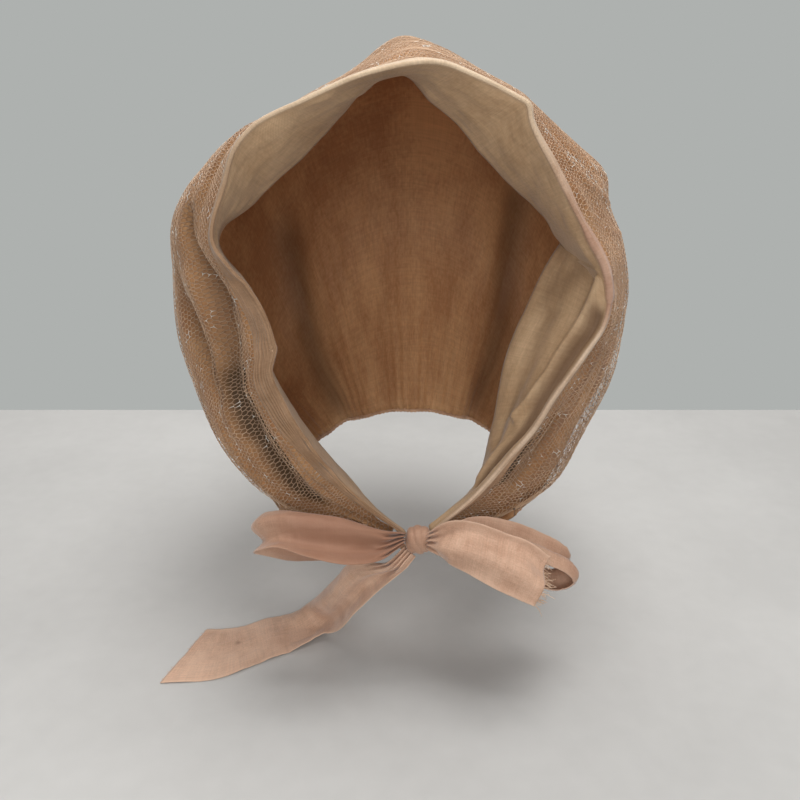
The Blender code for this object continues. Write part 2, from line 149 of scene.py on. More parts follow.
# Face edge: share of the way round, x, y, z
FACE_EDGE = [
    (0.000, -0.0038, -0.0755, -0.1965),
    (0.050, -0.0246, -0.0700, -0.1820),
    (0.116, -0.0456, -0.0700, -0.1558),
    (0.148, -0.0537, -0.0700, -0.1409),
    (0.181, -0.0594, -0.0700, -0.1243),
    (0.200, -0.0576, -0.0710, -0.1153),
    (0.240, -0.0634, -0.0690, -0.0948),
    (0.270, -0.0735, -0.0660, -0.0830),
    (0.295, -0.0800, -0.0640, -0.0730),
    (0.343, -0.0732, -0.0660, -0.0488),
    (0.366, -0.0686, -0.0680, -0.0375),
    (0.387, -0.0617, -0.0680, -0.0298),
    (0.430, -0.0422, -0.0640, -0.0199),
    (0.484, -0.0156, -0.0600, -0.0096),
    (0.531, 0.0092, -0.0600, -0.0069),
    (0.557, 0.0218, -0.0610, -0.0113),
    (0.590, 0.0374, -0.0630, -0.0186),
    (0.600, 0.0419, -0.0640, -0.0210),
    (0.612, 0.0430, -0.0640, -0.0265),
    (0.649, 0.0527, -0.0640, -0.0442),
    (0.705, 0.0677, -0.0640, -0.0694),
    (0.737, 0.0761, -0.0640, -0.0840),
    (0.760, 0.0786, -0.0630, -0.0962),
    (0.778, 0.0772, -0.0640, -0.1053),
    (0.809, 0.0690, -0.0660, -0.1190),
    (0.849, 0.0574, -0.0680, -0.1366),
    (0.877, 0.0503, -0.0690, -0.1494),
    (0.908, 0.0407, -0.0690, -0.1622),
    (0.950, 0.0270, -0.0700, -0.1796),
    (1.000, 0.0071, -0.0755, -0.1955),
]

# Widest hoop over the sides and the front of the crown: share, x, y, z
SHOULDER = [
    (0.000, -0.0038, -0.0757, -0.1985),
    (0.050, -0.0330, -0.0690, -0.1930),
    (0.080, -0.0600, -0.0560, -0.1900),
    (0.116, -0.0790, -0.0450, -0.1800),
    (0.148, -0.0910, -0.0350, -0.1700),
    (0.190, -0.1050, -0.0200, -0.1450),
    (0.230, -0.1130, -0.0100, -0.1230),
    (0.270, -0.1160, 0.0000, -0.0950),
    (0.305, -0.1130, 0.0000, -0.0740),
    (0.343, -0.1040, 0.0000, -0.0570),
    (0.375, -0.0840, -0.0050, -0.0390),
    (0.430, -0.0550, 0.0000, -0.0225),
    (0.484, -0.0250, 0.0200, -0.0045),
    (0.515, -0.0050, 0.0320, 0.0075),
    (0.545, 0.0140, 0.0280, 0.0030),
    (0.576, 0.0320, 0.0100, -0.0085),
    (0.606, 0.0520, 0.0000, -0.0210),
    (0.640, 0.0760, 0.0000, -0.0400),
    (0.660, 0.0860, 0.0000, -0.0500),
    (0.690, 0.0910, 0.0000, -0.0650),
    (0.730, 0.0995, 0.0000, -0.0850),
    (0.760, 0.1030, 0.0000, -0.1040),
    (0.790, 0.1010, -0.0070, -0.1210),
    (0.840, 0.0925, -0.0220, -0.1470),
    (0.880, 0.0790, -0.0320, -0.1680),
    (0.920, 0.0650, -0.0450, -0.1840),
    (0.950, 0.0460, -0.0560, -0.1920),
    (1.000, 0.0071, -0.0757, -0.1975),
]

# Back of the crown and sides: share, x, y, z
REAR = [
    (0.00, -0.0038, -0.0757, -0.2000),
    (0.05, -0.0360, -0.0670, -0.1970),
    (0.10, -0.0700, -0.0400, -0.1930),
    (0.15, -0.0880, -0.0050, -0.1850),
    (0.20, -0.1030, 0.0250, -0.1600),
    (0.30, -0.1020, 0.0600, -0.0980),
    (0.40, -0.0680, 0.0820, -0.0380),
    (0.50, 0.0000, 0.0920, -0.0120),
    (0.60, 0.0600, 0.0820, -0.0380),
    (0.70, 0.0920, 0.0600, -0.0950),
    (0.80, 0.0940, 0.0300, -0.1550),
    (0.85, 0.0820, 0.0000, -0.1820),
    (0.90, 0.0660, -0.0350, -0.1910),
    (0.95, 0.0360, -0.0640, -0.1950),
    (1.00, 0.0071, -0.0757, -0.1990),
]

# Lowest full hoop, over the nape: share, x, y, z
NAPE = [
    (0.00, -0.0038, -0.0755, -0.2015),
    (0.05, -0.0350, -0.0670, -0.1990),
    (0.10, -0.0660, -0.0420, -0.1970),
    (0.15, -0.0760, -0.0100, -0.1930),
    (0.20, -0.0820, 0.0200, -0.1860),
    (0.30, -0.0780, 0.0700, -0.1560),
    (0.40, -0.0470, 0.1030, -0.1120),
    (0.50, 0.0000, 0.1140, -0.0950),
    (0.60, 0.0450, 0.1030, -0.1120),
    (0.70, 0.0740, 0.0700, -0.1540),
    (0.80, 0.0760, 0.0220, -0.1840),
    (0.85, 0.0710, -0.0080, -0.1920),
    (0.90, 0.0610, -0.0380, -0.1940),
    (0.95, 0.0350, -0.0640, -0.1965),
    (1.00, 0.0071, -0.0755, -0.2005),
]

# Neck edge: share, x, y, z
NECK_EDGE = [
    (0.00, -0.0038, -0.0750, -0.2030),
    (0.03, -0.0180, -0.0700, -0.2020),
    (0.06, -0.0400, -0.0630, -0.2015),
    (0.09, -0.0585, -0.0520, -0.2000),
    (0.12, -0.0630, -0.0350, -0.1985),
    (0.20, -0.0590, 0.0000, -0.1960),
    (0.30, -0.0460, 0.0350, -0.1920),
    (0.40, -0.0250, 0.0540, -0.1900),
    (0.50, 0.0000, 0.0600, -0.1890),
    (0.60, 0.0250, 0.0540, -0.1900),
    (0.70, 0.0450, 0.0350, -0.1920),
    (0.80, 0.0560, 0.0000, -0.1950),
    (0.88, 0.0540, -0.0350, -0.1960),
    (0.93, 0.0440, -0.0560, -0.1970),
    (0.97, 0.0250, -0.0670, -0.1980),
    (1.00, 0.0071, -0.0750, -0.2020),
]

# Place of each hoop along a section line, from the face edge back to the neck
HOOP_STOPS = (0.0, 0.30, 0.56, 0.79, 1.0)
HOOPS = (FACE_EDGE, SHOULDER, REAR, NAPE, NECK_EDGE)

# Free edge of the band's inner flap: share, x, y, z
FLAP_EDGE = [
    (0.000, -0.0048, -0.0695, -0.1970),
    (0.020, -0.0160, -0.0600, -0.1925),
    (0.050, -0.0290, -0.0480, -0.1830),
    (0.116, -0.0520, -0.0380, -0.1570),
    (0.181, -0.0680, -0.0370, -0.1240),
    (0.240, -0.0740, -0.0360, -0.0940),
    (0.280, -0.0840, -0.0330, -0.0800),
    (0.318, -0.0808, -0.0358, -0.0701),
    (0.343, -0.0691, -0.0358, -0.0610),
    (0.366, -0.0592, -0.0375, -0.0514),
    (0.387, -0.0465, -0.0390, -0.0418),
    (0.430, -0.0310, -0.0315, -0.0261),
    (0.484, -0.0153, -0.0282, -0.0108),
    (0.510, -0.0075, -0.0305, -0.0095),
    (0.531, -0.0017, -0.0302, -0.0118),
    (0.557, 0.0060, -0.0310, -0.0199),
    (0.590, 0.0195, -0.0355, -0.0307),
    (0.612, 0.0281, -0.0348, -0.0408),
    (0.649, 0.0420, -0.0325, -0.0545),
    (0.690, 0.0548, -0.0305, -0.0657),
    (0.722, 0.0648, -0.0312, -0.0758),
    (0.738, 0.0654, -0.0262, -0.0770),
    (0.760, 0.0575, -0.0300, -0.0885),
    (0.790, 0.0484, -0.0362, -0.1070),
    (0.815, 0.0423, -0.0378, -0.1226),
    (0.860, 0.0364, -0.0425, -0.1538),
    (0.920, 0.0311, -0.0460, -0.1796),
    (0.950, 0.0285, -0.0510, -0.1865),
    (0.980, 0.0200, -0.0610, -0.1910),
    (1.000, 0.0081, -0.0695, -0.1960),
]

# Slack of the net over the lining: share, part of LINING_SLACK
SLACK = [
    (0.00, 0.10),
    (0.10, 0.15),
    (0.32, 0.00),
    (0.74, 0.00),
    (0.80, 0.30),
    (0.86, 0.95),
    (0.93, 0.70),
    (1.00, 0.10),
]

# Front edge of the lining: share, back
LINING_FRONT = [
    (0.012, 0.080),
    (0.040, 0.034),
    (0.100, 0.026),
    (0.300, 0.024),
    (0.500, 0.018),
    (0.700, 0.020),
    (0.800, 0.012),
    (0.960, 0.012),
    (0.988, 0.060),
]

# Folds of the net: height (grooves are negative), half width,
# then the (share, back) places that the fold passes
FOLDS = [
    (-0.0044, 0.0062,
     [(0.312, 0.140), (0.284, 0.112), (0.264, 0.096), (0.230, 0.100), (0.190, 0.118), (0.150, 0.122),
      (0.098, 0.150)]),
    (-0.0030, 0.0070, [(0.262, 0.245), (0.233, 0.205), (0.208, 0.185)]),
    (0.0030, 0.0060, [(0.262, 0.150), (0.228, 0.140), (0.195, 0.160), (0.150, 0.175)]),
    (0.0022, 0.0050, [(0.205, 0.030), (0.137, 0.045), (0.085, 0.055)]),
    (0.0018, 0.0140, [(0.505, 0.280), (0.512, 0.360)]),
    (0.0012, 0.0090, [(0.662, 0.270), (0.668, 0.400), (0.680, 0.520)]),
    (-0.0030, 0.0060, [(0.870, 0.100), (0.900, 0.110), (0.930, 0.130)]),
    (-0.0040, 0.0110, [(0.360, 0.700), (0.340, 0.860), (0.335, 0.960)]),
    (-0.0040, 0.0110, [(0.620, 0.660), (0.640, 0.840), (0.650, 0.960)]),
]

# Route of the dark hollow at the lower left, which the net bridges, as (share, back)
LEFT_HOLLOW = [(0.180, 0.128), (0.158, 0.134), (0.125, 0.138), (0.092, 0.164), (0.077, 0.184)]

# Deep creases of the lining alone, with heights and places as for FOLDS
LINING_FOLDS = [
    (-0.0046, 0.0088, LEFT_HOLLOW),
    (-0.0010, 0.0034, [(0.876, 0.026), (0.892, 0.036), (0.912, 0.052), (0.932, 0.080)]),
]

# Painted shade on the lining in those creases, which darkens the hollow and the slit: amount, half width,
# then the (share, back) places
POCKET_SHADES = [
    (1.18, 0.0084, LEFT_HOLLOW),
    (2.20, 0.0030, [(0.878, 0.026), (0.892, 0.036), (0.912, 0.052), (0.932, 0.080)]),
    (1.00, 0.0016, [(0.880, 0.058), (0.895, 0.066), (0.905, 0.076)]),
]

# Depth of a fold whose bottom gets the full painted shade, and the least depth that gets any painted shade
# at all
DARK_FOLD_DEPTH = 0.0055
DARK_FOLD_LIMIT = 0.0018

# Finer folds of the net, which the lining follows: height, half width, (share, back) places
WRINKLES = [
    (-0.0019, 0.0046, [(0.318, 0.150), (0.300, 0.128), (0.284, 0.108), (0.262, 0.090), (0.245, 0.080)]),
    (0.0012, 0.0022, [(0.250, 0.052), (0.230, 0.056), (0.212, 0.060), (0.191, 0.058), (0.130, 0.060)]),
    (0.0011, 0.0018, [(0.244, 0.080), (0.225, 0.084), (0.204, 0.088), (0.170, 0.084)]),
    (-0.0030, 0.0044, [(0.240, 0.200), (0.216, 0.180), (0.193, 0.188), (0.176, 0.185)]),
    (0.0022, 0.0048, [(0.253, 0.130), (0.221, 0.122), (0.200, 0.113)]),
    (0.0015, 0.0028, [(0.175, 0.085), (0.146, 0.078), (0.104, 0.088), (0.076, 0.108), (0.052, 0.130)]),
    (0.0013, 0.0022, [(0.161, 0.242), (0.138, 0.250), (0.100, 0.275), (0.075, 0.300)]),
    (0.0010, 0.0018, [(0.069, 0.072), (0.048, 0.090), (0.018, 0.060)]),
    (-0.0010, 0.0020, [(0.068, 0.125), (0.045, 0.145), (0.020, 0.140)]),
    (0.0010, 0.0018, [(0.068, 0.165), (0.050, 0.198), (0.025, 0.220)]),
    (0.0009, 0.0026, [(0.432, 0.080), (0.400, 0.055), (0.380, 0.055)]),
    (0.0010, 0.0030, [(0.400, 0.120), (0.366, 0.090), (0.340, 0.100), (0.318, 0.130)]),
    (-0.0009, 0.0030, [(0.530, 0.050), (0.500, 0.090), (0.470, 0.090), (0.440, 0.130)]),
    (0.0011, 0.0022, [(0.620, 0.080), (0.646, 0.085), (0.669, 0.125), (0.690, 0.250)]),
    (-0.0011, 0.0022, [(0.618, 0.130), (0.645, 0.140), (0.662, 0.200), (0.668, 0.260)]),
    (0.0010, 0.0022, [(0.666, 0.050), (0.691, 0.075), (0.712, 0.150), (0.720, 0.240)]),
    (0.0009, 0.0022, [(0.721, 0.060), (0.753, 0.050), (0.777, 0.060), (0.807, 0.090), (0.840, 0.090)]),
    (-0.0012, 0.0028, [(0.764, 0.100), (0.795, 0.140), (0.828, 0.177), (0.851, 0.188)]),
    (0.0013, 0.0024, [(0.849, 0.233), (0.874, 0.217), (0.900, 0.190), (0.925, 0.175)]),
    (0.0010, 0.0020, [(0.850, 0.130), (0.885, 0.120), (0.915, 0.110), (0.950, 0.120)]),
]

# Outer strip of the band: share, how far back it reaches, depth of its lengthwise folds in metres
STRIP = [
    (0.00, 0.014, 0.00010),
    (0.05, 0.028, 0.00030),
    (0.14, 0.040, 0.00034),
    (0.24, 0.044, 0.00032),
    (0.28, 0.028, 0.00020),
    (0.31, 0.009, 0.00004),
    (0.38, 0.009, 0.00004),
    (0.44, 0.022, 0.00006),
    (0.60, 0.022, 0.00008),
    (0.70, 0.027, 0.00012),
    (0.76, 0.024, 0.00016),
    (0.79, 0.013, 0.00006),
    (0.86, 0.012, 0.00006),
    (0.89, 0.019, 0.00010),
    (0.92, 0.032, 0.00016),
    (0.95, 0.040, 0.00020),
    (1.00, 0.014, 0.00006),
]
STRIP_FOLDS = 6.5

# Sharp corners of the face fold, drawn inward: share, metres
RIM_CORNERS = [
    (0.049, 0.0006),
    (0.085, 0.0008),
    (0.118, 0.0008),
    (0.160, 0.0006),
    (0.203, 0.0013),
    (0.257, 0.0008),
    (0.602, 0.0007),
]
RIM_CORNER_WIDTH = 0.007

# Pleat of the band at the lower right corner: the upper stretch of its flap narrows to nothing
# over the lower stretch, which starts behind it
PLEAT_START = 0.722
PLEAT_END = 0.766
PLEAT_LIFT_START = 0.692
PLEAT_LIFT_RUN = 0.02
PLEAT_TUCK_START = 0.756
PLEAT_TUCK_RUN = 0.009
PLEAT_LIFT = 0.0007
PLEAT_TUCK = 0.0004
PLEAT_RAISE = 0.0022
LOWER_START = 0.712
LOWER_FLAP_FROM = 0.738
LOWER_FLAP_EDGE = [
    (0.700, 0.0755, -0.0225, -0.0640),
    (0.722, 0.0708, -0.0240, -0.0700),
]

# Metres of cloth for the whole of each surface measure, used to judge how near a fold is
SHARE_LENGTH = 0.60
BACK_LENGTH = 0.25

# Ribbon sections from the knot outward: both edges, as x, y, z and x, y, z
LOOP_LEFT = [
    (-0.0048, -0.0815, -0.1915, -0.0048, -0.0830, -0.1960),
    (-0.0145, -0.0850, -0.1885, -0.0155, -0.0930, -0.1985),
    (-0.0310, -0.0865, -0.1820, -0.0285, -0.1000, -0.1965),
    (-0.0470, -0.0870, -0.1790, -0.0447, -0.1000, -0.1925),
    (-0.0545, -0.0860, -0.1785, -0.0550, -0.0985, -0.1895),
    (-0.0626, -0.0840, -0.1805, -0.0627, -0.0950, -0.1925),
    (-0.0664, -0.0810, -0.1844, -0.0661, -0.0890, -0.1970),
    (-0.0647, -0.0785, -0.1871, -0.0646, -0.0850, -0.2005),
    (-0.0564, -0.0775, -0.1872, -0.0545, -0.0830, -0.2047),
    (-0.0445, -0.0775, -0.1886, -0.0446, -0.0825, -0.2053),
    (-0.0299, -0.0780, -0.1920, -0.0300, -0.0820, -0.2045),
    (-0.0127, -0.0790, -0.1935, -0.0127, -0.0815, -0.2010),
    (-0.0050, -0.0787, -0.1945, -0.0050, -0.0797, -0.1985),
]
LOOP_RIGHT = [
    (0.0076, -0.0830, -0.1930, 0.0076, -0.0785, -0.1930),
    (0.0250, -0.0870, -0.1915, 0.0250, -0.0730, -0.1905),
    (0.0420, -0.0880, -0.1955, 0.0420, -0.0705, -0.1940),
    (0.0580, -0.0880, -0.2030, 0.0580, -0.0690, -0.2015),
    (0.0655, -0.0875, -0.2075, 0.0650, -0.0685, -0.2060),
    (0.0685, -0.0870, -0.2130, 0.0680, -0.0690, -0.2110),
    (0.0635, -0.0870, -0.2165, 0.0630, -0.0695, -0.2150),
    (0.0560, -0.0875, -0.2150, 0.0555, -0.0700, -0.2140),
    (0.0420, -0.0870, -0.2085, 0.0420, -0.0710, -0.2080),
    (0.0250, -0.0855, -0.2020, 0.0250, -0.0735, -0.2020),
    (0.0076, -0.0830, -0.1970, 0.0076, -0.0790, -0.1970),
]
TAIL_LEFT = [
    (-0.0040, -0.0800, -0.1995, 0.0000, -0.0840, -0.2015),
    (-0.0127, -0.0815, -0.2065, -0.0055, -0.0865, -0.2075),
    (-0.0287, -0.0700, -0.2141, -0.0151, -0.0800, -0.2210),
    (-0.0365, -0.0610, -0.2271, -0.0253, -0.0730, -0.2370),
    (-0.0445, -0.0480, -0.2432, -0.0325, -0.0640, -0.2521),
    (-0.0530, -0.0330, -0.2600, -0.0405, -0.0560, -0.2620),
    (-0.0619, -0.0350, -0.2652, -0.0525, -0.0620, -0.2652),
    (-0.0738, -0.0386, -0.2652, -0.0652, -0.0687, -0.2652),
    (-0.0845, -0.0450, -0.2652, -0.0750, -0.0750, -0.2652),
    (-0.0929, -0.0472, -0.2652, -0.0905, -0.0840, -0.2652),
    (-0.1022, -0.0479, -0.2652, -0.1143, -0.0867, -0.2652),
]
TAIL_RIGHT = [
    (0.0056, -0.0845, -0.1900, 0.0060, -0.0852, -0.1970),
    (0.0140, -0.0885, -0.1824, 0.0127, -0.0950, -0.1985),
    (0.0249, -0.0900, -0.1822, 0.0209, -0.1000, -0.2000),
    (0.0388, -0.0915, -0.1867, 0.0327, -0.1045, -0.2045),
    (0.0471, -0.0925, -0.1896, 0.0405, -0.1070, -0.2068),
    (0.0555, -0.0925, -0.1968, 0.0485, -0.1080, -0.2099),
]


def smooth(stops, values, at):
    """Smooth curve through the values at the stops, read at each place in at."""
    stops = np.asarray(stops, float)
    values = np.asarray(values, float)
    slopes = np.gradient(values, stops, axis=0)
    at = np.clip(np.asarray(at, float), stops[0], stops[-1])
    low = np.clip(np.searchsorted(stops, at, side="right") - 1, 0, len(stops) - 2)
    here = (low,) if values.ndim == 2 else (low, np.arange(len(low)))
    beyond = (low + 1,) + here[1:]
    gap = (stops[low + 1] - stops[low])[:, None]
    t = (at - stops[low])[:, None] / gap
    start = (2 * t ** 3 - 3 * t ** 2 + 1) * values[here] + (t ** 3 - 2 * t ** 2 + t) * gap * slopes[here]
    end = (3 * t ** 2 - 2 * t ** 3) * values[beyond] + (t ** 3 - t ** 2) * gap * slopes[beyond]
    return start + end


def read_table(rows, share):
    """Smooth curve through table rows whose first column is the share."""
    rows = np.asarray(rows, float)
    return smooth(rows[:, 0], rows[:, 1:], share)


def read_straight(rows, share, column=1):
    """One column of a table, read with straight lines between its rows."""
    rows = np.array(rows)
    return np.interp(share, rows[:, 0], rows[:, column])


def unit(vectors):
    """Vectors scaled to a length of 1."""
    return vectors / np.maximum(np.linalg.norm(vectors, axis=-1, keepdims=True), 1e-9)


def ease(value):
    """Smooth rise from 0 to 1 as the value does."""
    value = np.clip(value, 0.0, 1.0)
    return value * value * (3 - 2 * value)


def plain_surface(share, back):
    """The net's outer face before its folds."""
    hoops = np.array([read_table(rows, share) for rows in HOOPS])
    return smooth(HOOP_STOPS, hoops, back)


def surface_normal(share, back):
    """Outward direction of the plain surface."""
    over = (plain_surface(np.minimum(share + NORMAL_STEP, 1.0), back)
            - plain_surface(np.maximum(share - NORMAL_STEP, 0.0), back))
    rearward = (plain_surface(share, np.minimum(back + NORMAL_STEP, 1.0))
                - plain_surface(share, np.maximum(back - NORMAL_STEP, 0.0)))
    return unit(np.cross(over, rearward))


def summed_folds(place, folds, scale):
    """Summed height at each place of folds that run along routes."""
    total = np.zeros(len(place))
    for height, half_width, route in folds:
        route = np.array(route) * scale
        nearest = np.full(len(place), np.inf)
        for first, last in zip(route[:-1], route[1:]):
            run = last - first
            along = np.clip((place - first) @ run / (run @ run), 0.0, 1.0)
            nearest = np.minimum(nearest, np.linalg.norm(place - first - along[:, None] * run, axis=1))
        total += height * np.exp(-(nearest / half_width) ** 2)
    return total


def crease_height(share, back, folds):
    """Summed height of folds that run along routes on the surface."""
    scale = (SHARE_LENGTH, BACK_LENGTH)
    return summed_folds(np.stack([share, back], axis=1) * scale, folds, scale)


def fold_shade(share, back):
    """How much painted shade darkens a place at the bottom of a deep fold, from 0 to 1."""
    deep = [(-height / DARK_FOLD_DEPTH, half_width, route)
            for height, half_width, route in FOLDS + WRINKLES if height < -DARK_FOLD_LIMIT]
    return np.clip(crease_height(share, back, deep), 0.0, 1.0)


def fold_height(share, back):
    """Height of all folds and neck gathers above the plain surface."""
    ends = ease(share / FLUTE_FADE_SHARE) * ease((1.0 - share) / FLUTE_FADE_SHARE)
    gather = ease((back - FLUTE_START) / (1.0 - FLUTE_START)) * ends
    flutes = FLUTE_HEIGHT * gather * np.cos(2 * np.pi * FLUTES * share)
    return crease_height(share, back, FOLDS) + flutes


def rumple(along, across, seed, waves=(4, 9, 17, 31)):
    """Soft seeded unevenness from -1 to 1 over two measures that run from 0 to 1."""
    draw = np.random.default_rng(seed)
    total = np.zeros(len(along))
    weight = 0.0
    for wave in waves:
        for _ in range(3):
            turn = draw.uniform(0, 2 * np.pi)
            shift = draw.uniform(0, 2 * np.pi)
            phase = 2 * np.pi * wave * (along * math.cos(turn) + across * math.sin(turn)) + shift
            total += np.sin(phase + 1.3 * np.sin(0.5 * phase + shift)) / wave ** 0.5
            weight += 1 / wave ** 0.5
    return total / weight * 1.8


def skin(share, back, inset=0.0, extra=0.0):
    """Point of the folded surface, moved in from the net's outer face by the inset."""
    share = np.asarray(share, float)
    back = np.asarray(back, float)
    lift = fold_height(share, back) - inset + extra
    return plain_surface(share, back) + surface_normal(share, back) * lift[:, None]


def build_mesh(name, points, *face_arrays):
    """Object from an array of points and arrays of faces, one array for each corner count."""
    mesh = bpy.data.meshes.new(name)
    points = np.asarray(points, np.float32)
    mesh.vertices.add(len(points))
    mesh.vertices.foreach_set("co", points.ravel())
    corners = np.concatenate([np.asarray(faces, np.int32).ravel() for faces in face_arrays])
    counts = np.concatenate([np.full(len(faces), faces.shape[1]) for faces in face_arrays])
    starts = np.concatenate([[0], np.cumsum(counts)[:-1]]).astype(np.int32)
    mesh.loops.add(len(corners))
    mesh.loops.foreach_set("vertex_index", corners)
    mesh.polygons.add(len(counts))
    mesh.polygons.foreach_set("loop_start", starts)
    mesh.update(calc_edges=True)
    mesh.validate()
    mesh.shade_smooth()
    made = bpy.data.objects.new(name, mesh)
    bpy.context.scene.collection.objects.link(made)
    return made


def set_uv(made, places):
    """Cloth measures, in metres, as the mesh's UV map."""
    mesh = made.data
    corner_points = np.zeros(len(mesh.loops), np.int32)
    mesh.loops.foreach_get("vertex_index", corner_points)
    layer = mesh.uv_layers.new(name="cloth")
    layer.data.foreach_set("uv", np.asarray(places, np.float32)[corner_points].ravel())


def set_value(made, name, values):
    """One number for each point, which a material reads by its name."""
    attribute = made.data.attributes.new(name, "FLOAT", "POINT")
    attribute.data.foreach_set("value", np.asarray(values, np.float32))


def add_sheet(name, rows, places, wall, offset=0.0):
    """Cloth sheet through a grid of points, with a thin wall."""
    count, across = rows.shape[:2]
    corner = (np.arange(count - 1)[:, None] * across + np.arange(across - 1)).ravel()
    faces = np.stack([corner, corner + 1, corner + across + 1, corner + across], axis=1)
    made = build_mesh(name, rows.reshape(-1, 3), faces)
    set_uv(made, places.reshape(-1, 2))
    maker = made.modifiers.new("wall", "SOLIDIFY")
    maker.thickness = wall
    maker.offset = offset
    return made


def tube_parts(route, radii, sides):
    """Points and faces of a closed tube along a route."""
    route = np.asarray(route, float)
    along = unit(np.gradient(route, axis=0))
    side = np.cross(along, (0.31, 0.17, 0.93))
    side = unit(side)
    up = np.cross(along, side)
    turns = np.linspace(0, 2 * np.pi, sides, endpoint=False)
    radii = np.broadcast_to(np.asarray(radii, float), (len(route),))
    ring = side[:, None] * np.cos(turns)[None, :, None] + up[:, None] * np.sin(turns)[None, :, None]
    points = (route[:, None] + ring * radii[:, None, None]).reshape(-1, 3)
    corner = np.arange(len(route) - 1)[:, None] * sides
    here = np.arange(sides)
    after = (here + 1) % sides
    faces = np.stack([corner + here, corner + after, corner + sides + after, corner + sides + here], axis=2)
    points = np.concatenate([points, route[:1], route[-1:]])
    first, last = len(points) - 2, len(points) - 1
    start_cap = np.stack([np.full(sides, first), after, here], axis=1)
    end = (len(route) - 1) * sides
    end_cap = np.stack([np.full(sides, last), end + here, end + after], axis=1)
    return points, faces.reshape(-1, 4), np.concatenate([start_cap, end_cap])


def add_tubes(name, routes, radius, sides):
    """One mesh of many small tubes, such as stitches or loose threads."""
    points, quads, caps, used = [], [], [], 0
    for route in routes:
        new_points, new_quads, new_caps = tube_parts(route, radius, sides)
        points.append(new_points)
        quads.append(new_quads + used)
        caps.append(new_caps + used)
        used += len(new_points)
    return build_mesh(name, np.concatenate(points), np.concatenate(quads), np.concatenate(caps))


def length_tables():
    """Cloth measures for a grid of shares.

    They are the cloth width used up to each share at the widest hoop, how far back a length
    along each section line reaches, and each section line's whole length.
    """
    shares = np.linspace(0, 1, LENGTH_SHARES)
    backs = np.linspace(0, 1, LENGTH_BACKS)
    hoop = plain_surface(shares, np.full(LENGTH_SHARES, NET_WIDEST_BACK))
    used = np.concatenate([[0], np.cumsum(np.linalg.norm(np.diff(hoop, axis=0), axis=1))])
    grid = plain_surface(np.repeat(shares, LENGTH_BACKS), np.tile(backs, LENGTH_SHARES))
    steps = np.linalg.norm(np.diff(grid.reshape(LENGTH_SHARES, LENGTH_BACKS, 3), axis=1), axis=2)
    lengths = np.concatenate([np.zeros((LENGTH_SHARES, 1)), np.cumsum(steps, axis=1)], axis=1)
    whole = lengths[:, -1]
    reach = np.linspace(0, whole.max(), LENGTH_BACKS)
    backs_at = np.array([np.interp(reach, column, backs) for column in lengths])
    return used, reach, backs_at, whole


WIDTH_USED, REACH, BACKS_AT, WHOLE_LENGTH = length_tables()
NET_CLOTH_WIDTH = WIDTH_USED[-1]


def net_place(x, y):
    """Share and back of a point of the flat net."""
    share = np.interp(x, WIDTH_USED, np.linspace(0, 1, LENGTH_SHARES))
    column = share * (LENGTH_SHARES - 1)
    row = np.clip(y, 0, REACH[-1]) / REACH[-1] * (LENGTH_BACKS - 1)
    c = np.minimum(column.astype(int), LENGTH_SHARES - 2)
    r = np.minimum(row.astype(int), LENGTH_BACKS - 2)
    s, t = column - c, row - r
    left = BACKS_AT[c, r] * (1 - t) + BACKS_AT[c, r + 1] * t
    right = BACKS_AT[c + 1, r] * (1 - t) + BACKS_AT[c + 1, r + 1] * t
    return share, left * (1 - s) + right * s


def net_length(x):
    """Length of the flat net, front to back, at a place across it."""
    return np.interp(x, WIDTH_USED, WHOLE_LENGTH)


# Places of the glinting metal thread: routes as (share, back), and small sprigs
GLINT_ROUTES = [
    [(0.165, 0.205), (0.150, 0.213), (0.110, 0.213), (0.075, 0.216)],
    [(0.640, 0.100), (0.655, 0.200), (0.662, 0.290)],
    [(0.620, 0.060), (0.648, 0.130), (0.690, 0.200), (0.730, 0.240)],
    [(0.740, 0.290), (0.800, 0.300), (0.850, 0.310)],
    [(0.300, 0.200), (0.270, 0.180), (0.240, 0.200)],
    [(0.380, 0.110), (0.350, 0.150), (0.320, 0.170)],
]
GLINT_HALF_WIDTH = 0.0011
GLINT_ROUTE_SHARE = 0.42
SPRIG_PITCH = 0.026
SPRIG_RADIUS = 0.0042
SPRIG_SHARE = 0.36
SPRIG_WANDER = 0.30
SPRIG_PETALS = 5
GLINT_STRAY_SHARE = 0.009


def glint_values(x, y, share, back):
    """1 where the net's thread is metal, else 0."""
    draw = np.random.default_rng(71)
    luck = draw.random(len(x))
    near_route = np.zeros(len(x), bool)
    for route in GLINT_ROUTES:
        near_route |= crease_height(share, back, [(1.0, GLINT_HALF_WIDTH, route)]) > 0.3
    column = np.floor(x / SPRIG_PITCH)
    row = np.floor(y / SPRIG_PITCH + 0.5 * (column % 2))
    wander = SPRIG_WANDER * SPRIG_PITCH
    centre_x = (column + 0.5) * SPRIG_PITCH + wander * np.sin(12.9 * column + 7.7 * row)
    centre_y = (row + 0.5 - 0.5 * (column % 2)) * SPRIG_PITCH + wander * np.sin(5.3 * column + 3.1 * row)
    away = np.hypot(x - centre_x, y - centre_y)
    turn = np.arctan2(y - centre_y, x - centre_x)
    petal = SPRIG_RADIUS * (0.62 + 0.38 * np.cos(SPRIG_PETALS * turn + column + row))
    chosen = (near_route & (luck < GLINT_ROUTE_SHARE))
    chosen |= (away < petal) & (luck < SPRIG_SHARE)
    chosen |= luck > 1 - GLINT_STRAY_SHARE
    return chosen.astype(float)


